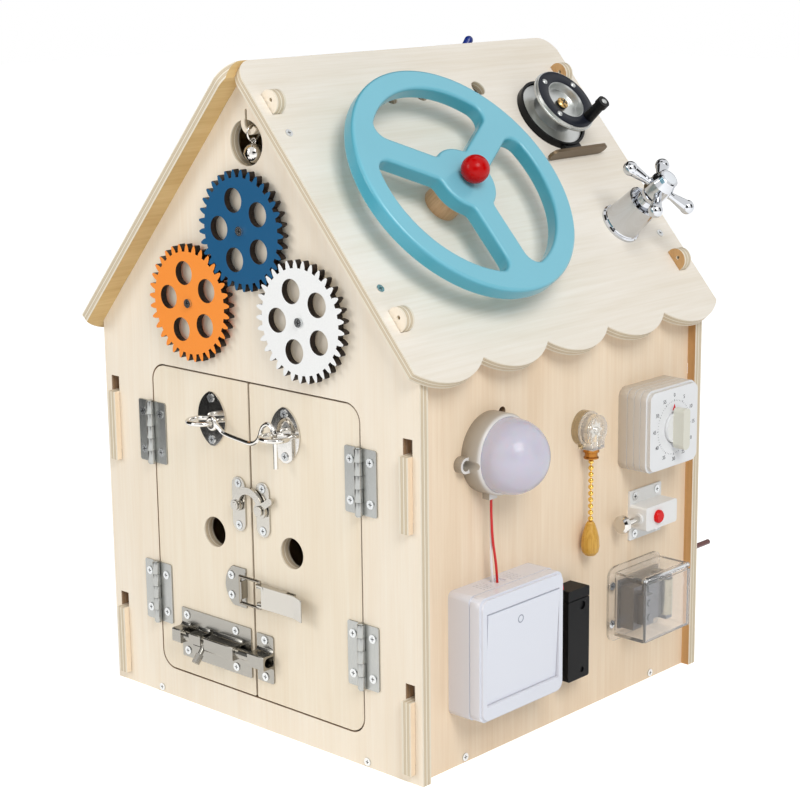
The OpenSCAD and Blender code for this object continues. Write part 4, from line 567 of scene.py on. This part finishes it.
# %% Soften the edges
edge_width = {
    0.6 * mm: ["front_gable", "back_gable", "right_wall", "left_wall", "roof_right", "roof_left",
               "left_door", "right_door", "latch_body"],
    0.35 * mm: ["gear_blue", "gear_orange", "gear_white", "bolt_plate", "bolt_keeper",
                "toggle_lever", "horn_arm", "timer_knob", "battery_box", "reel_spool"],
    0.2 * mm: ["hinge_leaves_frame", "hinge_leaves_left", "hinge_leaves_right", "eye_plate_left",
               "eye_plate_right", "horn_plate_left", "horn_catch", "toggle_strike", "toggle_base"],
    0.25 * mm: ["switch_box", "timer_case"],
    1.0 * mm: ["switch_rocker", "music_lid"],
    0.8 * mm: ["lamp_base", "steering_post"],
}
# A flat side with many cut-outs folds over itself when it becomes one polygon, so these
# housings keep their triangles.
keeps_triangles = {"switch_box", "timer_case", "battery_box"}


def soften(piece, width):
    """Rounds the sharp edges of a piece with live modifiers."""
    weld = piece.modifiers.new("weld", "WELD")
    weld.merge_threshold = 0.01 * mm
    if piece.name not in keeps_triangles:
        plain = piece.modifiers.new("plain", "DECIMATE")
        plain.decimate_type = "DISSOLVE"
        plain.angle_limit = math.radians(0.3)
    bevel = piece.modifiers.new("bevel", "BEVEL")
    bevel.width = width
    bevel.segments = 2
    bevel.limit_method = "ANGLE"
    bevel.angle_limit = math.radians(40)
    bevel.miter_outer = "MITER_ARC"


for width, names in edge_width.items():
    for name in names:
        soften(nodes[name], width)

# %% [markdown]
# ## Leads
#
# The lamp is fed by two thin leads, red and white, that drop from its gland into the top of
# the switch, and the battery box by a red and a black one that arch over from the switch. Both
# ends of each are held, so a lead is a fixed run between two housings. A curve with a round
# bevel is the natural tool: its points are the lead's own line, and the thickness is one number.

# %% Leads
lead_radius = 0.9 * mm
gland_z, recess_z = 183, 124
switch_side, battery_top = -35.1, 100.5
leads = {
    "lamp_lead_red": (red_lead, "lamp_leads", [
        (158.2, -88.6, gland_z), (158.2, -88.5, 172), (158.6, -87.6, 155), (158.9, -84.8, 138),
        (158.6, -83, recess_z)]),
    "lamp_lead_white": (white_lead, "lamp_leads", [
        (156.5, -86.8, gland_z), (156.4, -86.8, 172), (156.3, -86.8, 155), (156.5, -86.6, 138),
        (156.6, -85.2, recess_z)]),
    "battery_lead_red": (red_lead, "battery_leads", [
        (157, switch_side, 102), (157, -29, 107), (157, -21, 109.5), (157, -13.5, 107.5),
        (157, -10.8, battery_top)]),
    "battery_lead_black": (black_lead, "battery_leads", [
        (153.6, switch_side, 93), (153.6, -31, 98), (153.6, -25.5, 104.5), (153.6, -18, 106.5),
        (153.6, -13, 104.5), (153.6, -11.6, battery_top)]),
}


def flowing(points, steps):
    """A smooth line through points, with steps in each span."""
    line = [Vector(p) * mm for p in points]
    ends = [line[0], *line, line[-1]]
    path = []
    for a, b, c, d in zip(ends, ends[1:], ends[2:], ends[3:]):
        for u in (j / steps for j in range(steps)):
            path.append(0.5 * (2 * b + (c - a) * u + (2 * a - 5 * b + 4 * c - d) * u**2
                               + (3 * b - a - 3 * c + d) * u**3))
    return path + [line[-1]]


def lead(name, paint, stands_for, points):
    """A thin insulated wire along a line, from one housing to the next."""
    path = flowing(points, 5)
    curve = bpy.data.curves.new(name, "CURVE")
    curve.dimensions = "3D"
    curve.bevel_depth = lead_radius
    curve.bevel_resolution = 4
    curve.use_fill_caps = True
    run = curve.splines.new("POLY")
    run.points.add(len(path) - 1)
    for point, place in zip(run.points, path):
        point.co = (*place, 1)
    wire = put_in_scene(name, curve)
    curve.materials.append(paint)
    length = sum((b - a).length for a, b in zip(path, path[1:]))
    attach(wire, "house")
    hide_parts(stands_for)
    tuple(path[0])
    print(f"{name}: {length * 1000:.1f} mm")


for name, facts in leads.items():
    lead(name, *facts)

# %% [markdown]
# ## Making new pieces
#
# New pieces are modelled flat at the origin in a bmesh and then set on their face of the house.
# A lathe covers most of them: a profile of radii and heights, spun once round. Setting a piece
# moves its mesh, not its object, so every object stays at the origin.

# %% Helpers for new pieces


def turned_shape(profile, steps, mesh=None):
    """A lathe piece: (radius, height) points, in millimetres, spun round local z."""
    mesh = mesh or bmesh.new()
    points = [mesh.verts.new((r * mm, 0, h * mm)) for r, h in profile]
    edges = [mesh.edges.new(pair) for pair in zip(points, points[1:])]
    bmesh.ops.spin(mesh, geom=points + edges, cent=(0, 0, 0), axis=(0, 0, 1), angle=math.tau,
                   steps=steps, use_merge=True)
    bmesh.ops.remove_doubles(mesh, verts=mesh.verts, dist=0.002 * mm)
    return mesh


def set_piece(name, mesh, place, paint, body):
    """Makes a bmesh a piece that stands at a place and rides on a body."""
    bmesh.ops.transform(mesh, matrix=place, verts=mesh.verts)
    bmesh.ops.recalc_face_normals(mesh, faces=mesh.faces)
    data = bpy.data.meshes.new(name)
    mesh.to_mesh(data)
    mesh.free()
    data.shade_smooth()
    data.set_sharp_from_angle(angle=math.radians(38))
    data.materials.append(paint)
    made = put_in_scene(name, data)
    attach(made, body)
    return made


def bar(mesh, centre, size, turn=0.0):
    """Adds a small block, in millimetres, turned about local z through the origin."""
    place = Matrix.Rotation(turn, 4, "Z") @ Matrix.Translation(Vector(centre) * mm)
    bmesh.ops.create_cube(mesh, size=mm, matrix=place @ Matrix.Diagonal((*size, 1)))


def thicken(mesh, face, height):
    """Raises a face by a height, in millimetres, with sides all round it."""
    moved = bmesh.ops.extrude_face_region(mesh, geom=[face])["geom"]
    corners = [part for part in moved if isinstance(part, bmesh.types.BMVert)]
    bmesh.ops.translate(mesh, vec=(0, 0, height * mm), verts=corners)


def mesh_of(curve):
    """The mesh that a curve or a text makes."""
    holder = put_in_scene(curve.name, curve)
    bpy.context.view_layer.update()
    shown = holder.evaluated_get(bpy.context.evaluated_depsgraph_get())
    data = bpy.data.meshes.new_from_object(shown)
    bpy.data.objects.remove(holder)
    return data


# %% [markdown]
# ## Recesses of the screws
#
# Every screw of the house has a cross cut in its head. The cut is narrow and deep, so it looks
# almost black. A dark inlay at the bottom of each cut paints that shade, so it shows from every
# side. The screws are found in their node as groups of joined points: the head is the wide end of each
# group.

# %% Screw recesses
# Painted shade for the bottoms of the screws' cross cuts.
painted_recess_shade = plastic("painted_recess_shade", shade(22, 22, 24), 0.6)
facings = [Vector(d) for d in (out_front, out_back, out_right, out_left, roof_out, left_roof_out)]


def groups_of(name):
    """The places of the points of each separate solid of a node."""
    mesh = bmesh.new()
    mesh.from_mesh(nodes[name].data)
    bmesh.ops.remove_doubles(mesh, verts=mesh.verts, dist=0.002 * mm)
    waiting = dict.fromkeys(mesh.verts)
    while waiting:
        group = [next(iter(waiting))]
        del waiting[group[0]]
        for point in group:
            for edge in point.link_edges:
                other = edge.other_vert(point)
                if other in waiting:
                    del waiting[other]
                    group.append(other)
        yield [point.co.copy() for point in group]
    mesh.free()


def screw_head(points, directions, spread):
    """Top centre, outward direction and radius of a screw's head, or None."""
    found = None
    for out in directions:
        top = max(p.dot(out) for p in points)
        rim = [p for p in points if top - p.dot(out) < 0.05 * mm]
        centre = sum(rim, Vector()) / len(rim)
        off_axis = max((p - centre - (p - centre).dot(out) * out).length for p in points)
        radius = max((p - centre).length for p in rim)
        is_head = off_axis < radius * spread and 2 * mm < radius < 6 * mm
        if is_head and (not found or radius > found[2]):
            found = (centre, out, radius)
    return found


def recesses(name, body, directions=facings, spread=1.05, depth=0.2 * mm):
    """A dark cross of painted shade in each screw head of a node."""
    crosses = bmesh.new()
    count = 0
    for points in groups_of(name):
        head = screw_head(points, directions, spread)
        if not head:
            continue
        centre, out, radius = head
        side = Vector((1, 0, 0)) if abs(out.y) > 0.5 else Vector((0, 1, 0))
        frame_of_head = Matrix((side, out.cross(side), out)).transposed().to_4x4()
        place = Matrix.Translation(centre - depth * out) @ frame_of_head
        for long, wide in ((0.98, 0.19), (0.19, 0.98)):
            scale = Matrix.Diagonal((long * radius, wide * radius, 0.2 * mm, 1))
            bmesh.ops.create_cube(crosses, size=1, matrix=place @ scale)
        count += 1
    set_piece("recesses_" + name, crosses, Matrix(), painted_recess_shade, body)
    print(f"{name}: {count} screw recesses")


recesses("fixings_house", "house")
recesses("fixings_left", "left_door")
recesses("fixings_right", "right_door")
# A gear's screw has a spacer wider than its head, and a deeper cross.
recesses("gear_axles", "house", [Vector(out_front)], 1.6, 0.45 * mm)

# %% [markdown]
# ## The timer's dial
#
# A kitchen timer prints sixty ticks and twelve numbers round its knob, with a small triangle
# that points at the time left. Ink is thin, but a mesh is what shows from every side, so each
# mark is a sliver of ink a tenth of a millimetre proud of the case. Numbers are text, turned
# into a mesh before they are placed.

# %% Dial
timer_low, timer_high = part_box("timer_case")
timer_mid = (timer_low + timer_high) / 2
dial_frame = on_wall(timer_mid.y, timer_mid.z, timer_high.x - wall_x)
tick_ring, number_ring = 19.4, 23.4
ink_height = 0.1

ticks = bmesh.new()
for minute in range(60):
    wide, long, further = (0.34, 1.5, 0.3) if minute % 5 == 0 else (0.2, 0.8, 0)
    bar(ticks, (0, tick_ring + further, ink_height / 2), (wide, long, ink_height),
        -minute * math.tau / 60)
set_piece("timer_ticks", ticks, dial_frame, dial_ink, "house")


def number_mesh(word, height):
    """A number as a flat mesh centred on the origin, height in millimetres."""
    curve = bpy.data.curves.new("number", "FONT")
    curve.body = word
    curve.size = height * mm * 1.4
    curve.extrude = ink_height * mm
    curve.align_x = "CENTER"
    curve.align_y = "CENTER"
    return mesh_of(curve)


numbers = bmesh.new()
for step in range(12):
    data = number_mesh(str(step * 5), 2.7)
    turn = Matrix.Rotation(-step * math.tau / 12, 4, "Z")
    data.transform(Matrix.Translation(turn @ Vector((0, number_ring * mm, 0))))
    numbers.from_mesh(data)
    bpy.data.meshes.remove(data)
set_piece("timer_numbers", numbers, dial_frame, dial_ink, "house")

pointer = bmesh.new()
pointer_corners = [(-2.2, 12.6, 0), (2.2, 12.6, 0), (0, 17.2, 0)]
face = pointer.faces.new([pointer.verts.new(Vector(corner) * mm) for corner in pointer_corners])
thicken(pointer, face, ink_height)
set_piece("timer_pointer", pointer, dial_frame, dial_red, "house")

# %% [markdown]
# ## The switch's ring mark
#
# A big rocker switch carries a small ring near its upper edge that says which end is on. It is
# a thin ring printed on the rocker, so it tips with it.

# %% Ring mark
rocker_low, rocker_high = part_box("switch_rocker")
switch_mid = (rocker_low + rocker_high) / 2
rocker_pivot = 24 * mm
rocker_tilt = math.radians(3)
rocker_face = 4.2 * mm
ring_frame = (on_wall(switch_mid.y, 82 * mm, rocker_pivot) @ Matrix.Rotation(rocker_tilt, 4, "X")
              @ Matrix.Translation((-3.5 * mm, 21.1 * mm, rocker_face)))
ring = turned_shape([(2.2, -0.1), (2.2, 0.12), (2.9, 0.12), (2.9, -0.1), (2.2, -0.1)], 48)
set_piece("switch_ring_mark", ring, ring_frame, mark_grey, "switch_rocker")

# %% [markdown]
# ## The reel's face
#
# The fly reel's spool is cast, with a black plate sunk in its rim round a bright cup. Three
# rivets hold the plate and a brass screw holds the spool on its spindle.

# %% Reel face
reel_down, reel_along, reel_top = 71.5 * mm, 109 * mm, 21
plate_in, plate_out = 15.9, 25.2
reel_frame_matrix = on_roof(reel_down, reel_along)
plate = turned_shape([(plate_in, reel_top - 0.4), (plate_in, reel_top + 0.2),
                      (plate_in + 0.4, reel_top + 0.5), (plate_out - 0.4, reel_top + 0.5),
                      (plate_out, reel_top + 0.2), (plate_out, reel_top - 0.4),
                      (plate_in, reel_top - 0.4)], 96)
set_piece("reel_face_plate", plate, reel_frame_matrix, reel_face, "reel_spool")

screw_base = reel_top - 4.2
brass_screw = turned_shape([(0, screw_base - 0.2), (4.6, screw_base - 0.2), (4.6, screw_base + 0.5),
                            (3.9, screw_base + 1.3), (2.2, screw_base + 1.8), (0, screw_base + 1.9)], 48)
set_piece("reel_brass_screw", brass_screw, reel_frame_matrix, brass, "house")

knob_angle, knob_arm = 34, 21
rivet_ring = 20.6
rivets = bmesh.new()
for angle in (knob_angle + 90, knob_angle + 180, knob_angle + 270):
    rivet = turned_shape([(0, 1.0), (1.3, 0.9), (2.0, 0.5), (2.3, 0), (2.3, -0.6), (0, -0.6)], 24)
    turn = math.radians(angle)
    place = Vector((rivet_ring * math.cos(turn), rivet_ring * math.sin(turn), reel_top + 0.5)) * mm
    bmesh.ops.translate(rivet, vec=place, verts=rivet.verts)
    held = bpy.data.meshes.new("rivet")
    rivet.to_mesh(held)
    rivet.free()
    rivets.from_mesh(held)
    bpy.data.meshes.remove(held)
set_piece("reel_rivets", rivets, reel_frame_matrix, cast_silver, "reel_spool")

knob_turn = math.radians(knob_angle)
knob_axis = Vector((knob_arm * math.cos(knob_turn), knob_arm * math.sin(knob_turn), 0)) * mm
knob_screw = turned_shape([(0, 40.8), (1.6, 40.7), (2.2, 40.3), (2.2, 39.8), (0, 39.8)], 32)
set_piece("reel_knob_screw", knob_screw, reel_frame_matrix @ Matrix.Translation(knob_axis),
          cast_silver, "reel_knob")

# The brass screw's cross slot is a dark inlay of painted shade.
brass_cross = bmesh.new()
cross_turn = 0.6
for turn in (cross_turn, cross_turn + math.pi / 2):
    bar(brass_cross, (0, 0, screw_base + 1.9), (5.2, 1.0, 0.3), turn)
set_piece("reel_screw_cross", brass_cross, reel_frame_matrix, painted_recess_shade, "house")

# %% [markdown]
# ## The reel's foot
#
# The frame of the reel is black, but its foot is left as bronze plate. Both are one piece, so
# the finish changes down the slope, past the rim of the frame.

# %% Reel foot
foot_spot, _ = place_of(reel_black)
down_slope = Vector((math.cos(roof_pitch), 0, -math.sin(roof_pitch)))
foot_from = reel_down + 34.5 * mm
past_rim = reach(reel_black, foot_spot, down_slope)
foot = sums(reel_black, "GREATER_THAN", past_rim, down_slope.dot(ridge) + foot_from)
foot_colour = blend(reel_black, foot, reel_dark, shade(112, 96, 76))
feed_shader(reel_black, Base_Color=foot_colour, Metallic=foot)

# %% [markdown]
# ## The tap's cap
#
# The cross handle of a tap is closed by a small white disc in a chrome ring. The disc usually
# says hot or cold; this one is left bare.

# %% Tap cap
tap_down, tap_along, tap_top = 169 * mm, 113 * mm, 57.1
cap = turned_shape([(0, tap_top - 0.3), (5.6, tap_top - 0.3), (5.6, tap_top + 0.1), (5.1, tap_top + 0.45),
                    (3.2, tap_top + 0.7), (0, tap_top + 0.8)], 48)
set_piece("tap_cap_disc", cap, on_roof(tap_down, tap_along), enamel, "tap_handle")

# %% [markdown]
# ## Inside the pull switch
#
# The pull switch is clear, and what shows in it is its ratchet: a star of sheet metal on a
# central rivet. A star is a disc whose rim points step in and out, then given a thickness.

# %% Ratchet star
pull_y, pull_z = 20.5 * mm, 209 * mm
star = bmesh.new()
star_points, star_out, star_in = 8, 7.4, 4.4
rim = []
for i in range(2 * star_points):
    radius = star_out if i % 2 == 0 else star_in
    angle = i * math.pi / star_points
    rim.append(star.verts.new((radius * mm * math.cos(angle), radius * mm * math.sin(angle), 9 * mm)))
thicken(star, star.faces.new(rim), 0.8)
turned_shape([(0, 6.5), (2.2, 6.5), (2.2, 12.4), (1.4, 13), (0, 13)], 32, star)
set_piece("pull_ratchet", star, on_wall(pull_y, pull_z), nickel, "house")

# %% [markdown]
# ## The chain's nozzle
#
# The chain leaves the pull switch through a small bronze nozzle, screwed into the clear body.
# It is turned metal, so a lathe profile gives its collar, waist and rim.

# %% Nozzle
nozzle_down = Matrix.Rotation(math.pi / 2, 4, "X")
nozzle_place = on_wall(pull_y, pull_z, 8 * mm) @ Matrix.Translation((0, -13.5 * mm, 0)) @ nozzle_down
nozzle = turned_shape([(2.1, 0), (5.7, 0), (5.7, 2.5), (4.5, 3.1), (4.5, 5.6), (5.3, 6.2), (5.3, 7.1),
                       (2.1, 7.1), (2.1, 0)], 48)
set_piece("pull_nozzle", nozzle, nozzle_place, bronze, "house")

# %% [markdown]
# ## The steering wheel
#
# The wheel is cut from one thick board and rounded all along its edges. A flat curve makes
# such a shape at once: one closed line for the rim, one for each window, and a bevel that
# rounds every edge. Each window is four small arcs joined by the hub, the rim and two spokes.

# %% Wheel
wheel_place = on_roof(130 * mm, -54 * mm, 25.6 * mm)
wheel_radius, window_radius, hub_radius = 90, 74, 24.5
spoke_half, spoke_turn = 10, math.radians(2)
rim_corner, hub_corner = 9, 5
wheel_thick, wheel_round = 12, 2.5


def arc(centre, radius, start, stop, steps):
    """Points of an arc between two angles."""
    angles = [start + (stop - start) * i / steps for i in range(steps + 1)]
    return [Vector((centre[0] + radius * math.cos(a), centre[1] + radius * math.sin(a))) for a in angles]


def window_line():
    """Half a window's outline beside the first spoke, then its mirror image at the next one."""
    middle = math.pi / 3
    rim_y, hub_y = spoke_half + rim_corner, spoke_half + hub_corner
    rim_x = math.sqrt((window_radius - rim_corner) ** 2 - rim_y**2)
    hub_x = math.sqrt((hub_radius + hub_corner) ** 2 - hub_y**2)
    rim_angle, hub_angle = math.atan2(rim_y, rim_x), math.atan2(hub_y, hub_x)
    half = arc((0, 0), hub_radius, middle, hub_angle, 6)[:-1]
    half += arc((hub_x, hub_y), hub_corner, hub_angle + math.pi, 1.5 * math.pi, 6)
    half += arc((rim_x, rim_y), rim_corner, -0.5 * math.pi, rim_angle, 8)
    half += arc((0, 0), window_radius, rim_angle, middle, 10)[1:]
    mirrored = [Matrix.Rotation(2 * middle, 2) @ Vector((p.x, -p.y)) for p in half]
    return half + mirrored[-2:0:-1]


outlines = [arc((0, 0), wheel_radius, 0, math.tau, 128)[:-1]]
for k in range(3):
    turn = Matrix.Rotation(spoke_turn + k * math.tau / 3, 2)
    outlines.append([turn @ p for p in window_line()])
drawn_wheel = bpy.data.curves.new("wheel_outline", "CURVE")
drawn_wheel.dimensions = "2D"
drawn_wheel.fill_mode = "BOTH"
for outline in outlines:
    line = drawn_wheel.splines.new("POLY")
    line.points.add(len(outline) - 1)
    for point, place in zip(line.points, outline):
        point.co = (place.x * mm, place.y * mm, 0, 1)
    line.use_cyclic_u = True
drawn_wheel.extrude = (wheel_thick / 2 - wheel_round) * mm
drawn_wheel.bevel_depth = wheel_round * mm
drawn_wheel.offset = -wheel_round * mm
drawn_wheel.bevel_resolution = 4
wheel_mesh = bmesh.new()
wheel_mesh.from_mesh(mesh_of(drawn_wheel))
bmesh.ops.remove_doubles(wheel_mesh, verts=wheel_mesh.verts, dist=0.01 * mm)
wheel = set_piece("wheel_board", wheel_mesh, wheel_place, wheel_paint, "steering_wheel")
even = wheel.modifiers.new("even", "WEIGHTED_NORMAL")
even.keep_sharp = True
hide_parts("steering_wheel")
print(f"wheel: {len(wheel.data.polygons)} faces")

# %% [markdown]
# ## Floor and light
#
# The picture is taken in a white studio: a white floor, a bright room, one large soft light on
# the right of the camera and a weaker one on the left. The lights stay at a plain level, so
# paint looks as it was mixed. Camera, mirror and glass rays see plain white behind the house.

# %% Stage


def looked_at(made):
    """1 for the rays of the camera, of mirrors and of glass, and 0 for all others."""
    path = node(made, "LightPath").outputs
    return sums(made, "MAXIMUM", path["Is Camera Ray"],
                sums(made, "MAXIMUM", path["Is Glossy Ray"], path["Is Transmission Ray"]))


floor_half = 6
floor_mesh = bmesh.new()
bmesh.ops.create_grid(floor_mesh, x_segments=1, y_segments=1, size=floor_half)
floor_data = bpy.data.meshes.new("studio_floor")
floor_mesh.to_mesh(floor_data)
floor_mesh.free()
floor = put_in_scene("studio_floor", floor_data)
floor_paint = finish("studio_floor", (0.9, 0.9, 0.9, 1), 0.9)
floor_data.materials.append(floor_paint)
plain_floor = floor_paint.node_tree.nodes["Principled BSDF"].outputs[0]
glow = node(floor_paint, "Emission", {"Color": (1, 1, 1, 1), "Strength": 0.62}).outputs[0]
lifted = node(floor_paint, "AddShader", {0: plain_floor, 1: glow}).outputs[0]
shown = node(floor_paint, "MixShader", {0: looked_at(floor_paint), 1: plain_floor, 2: lifted})
floor_tree = floor_paint.node_tree
floor_tree.links.new(shown.outputs[0], floor_tree.nodes["Material Output"].inputs["Surface"])

world = bpy.data.worlds.new("studio")
bpy.context.scene.world = world
world.use_nodes = True
room = world.node_tree
sky = room.nodes["Background"]
sky.inputs["Color"].default_value = (0.97, 0.985, 1, 1)
sky.inputs["Strength"].default_value = 0.44
white_room = node(world, "Background", {"Color": (1, 1, 1, 1)})
choose = node(world, "MixShader", {0: looked_at(world), 1: sky.outputs[0], 2: white_room.outputs[0]})
room.links.new(choose.outputs[0], room.nodes["World Output"].inputs["Surface"])

# %% Lamps
aim = Vector((0, 0, 0.22))


def soft_lamp(name, place, size, power):
    """A square soft light that faces the middle of the house."""
    data = bpy.data.lights.new(name, "AREA")
    data.shape = "SQUARE"
    data.size = size
    data.energy = power
    made = put_in_scene(name, data)
    made.location = place
    made.rotation_mode = "QUATERNION"
    made.rotation_quaternion = (Vector(place) - aim).to_track_quat("Z", "Y")


soft_lamp("key_light", (1.9, -0.9, 1.9), 1.1, 34)
soft_lamp("fill_light", (-1.1, -2.2, 1.2), 1.2, 18)

# %% [markdown]
# ## Dark cards
#
# In an all-white room bright metal looks like plaster. So a studio stands black cards round
# the metal, and every round piece shows dark bands. Here the cards are seen only by
# mirror rays: they take no light from the wood and never stand in the picture.

# %% Cards
card_black = finish("card_black", (0.004, 0.004, 0.004, 1), 1.0)
cards = {
    "card_left": ((-0.6, -0.7, 0.45), (1.0, 0.9), (1, 0, 0)),
    "card_behind": ((-0.9, 1.2, 1.1), (1.6, 1.6), None),
    "card_above": ((-0.9, -0.2, 1.15), (1.1, 1.0), None),
    "card_beside": ((1.7, 0.9, 0.9), (0.9, 1.5), None),
    "card_camera": ((1.5, -1.75, 0.7), (1.3, 1.1), None),
    "card_over": ((0.1, -0.4, 2.3), (1.0, 0.8), None),
    "card_tap": ((-0.13, 0.03, 0.62), (0.34, 0.34), (0.79, 0.24, -0.55)),
    "card_tap_front": ((0.5, -0.27, 0.6), (0.26, 0.26), (-0.62, 0.7, -0.3)),
}
for name, (place, size, faces_way) in cards.items():
    flat_card = bmesh.new()
    bmesh.ops.create_grid(flat_card, x_segments=1, y_segments=1, size=0.5)
    bmesh.ops.scale(flat_card, vec=(*size, 1), verts=flat_card.verts)
    way = Vector(faces_way) if faces_way else aim - Vector(place)
    turn = way.to_track_quat("Z", "Y").to_matrix().to_4x4()
    bmesh.ops.transform(flat_card, matrix=Matrix.Translation(place) @ turn, verts=flat_card.verts)
    data = bpy.data.meshes.new(name)
    flat_card.to_mesh(data)
    flat_card.free()
    data.materials.append(card_black)
    card = put_in_scene(name, data)
    card.visible_camera = False
    card.visible_diffuse = False
    card.visible_shadow = False
    card.visible_transmission = False
print(f"{len(cards)} dark cards")

# %% [markdown]
# ## Finish
#
# Colours are shown as they are.

# %% The end
bpy.context.scene.view_settings.view_transform = "Standard"
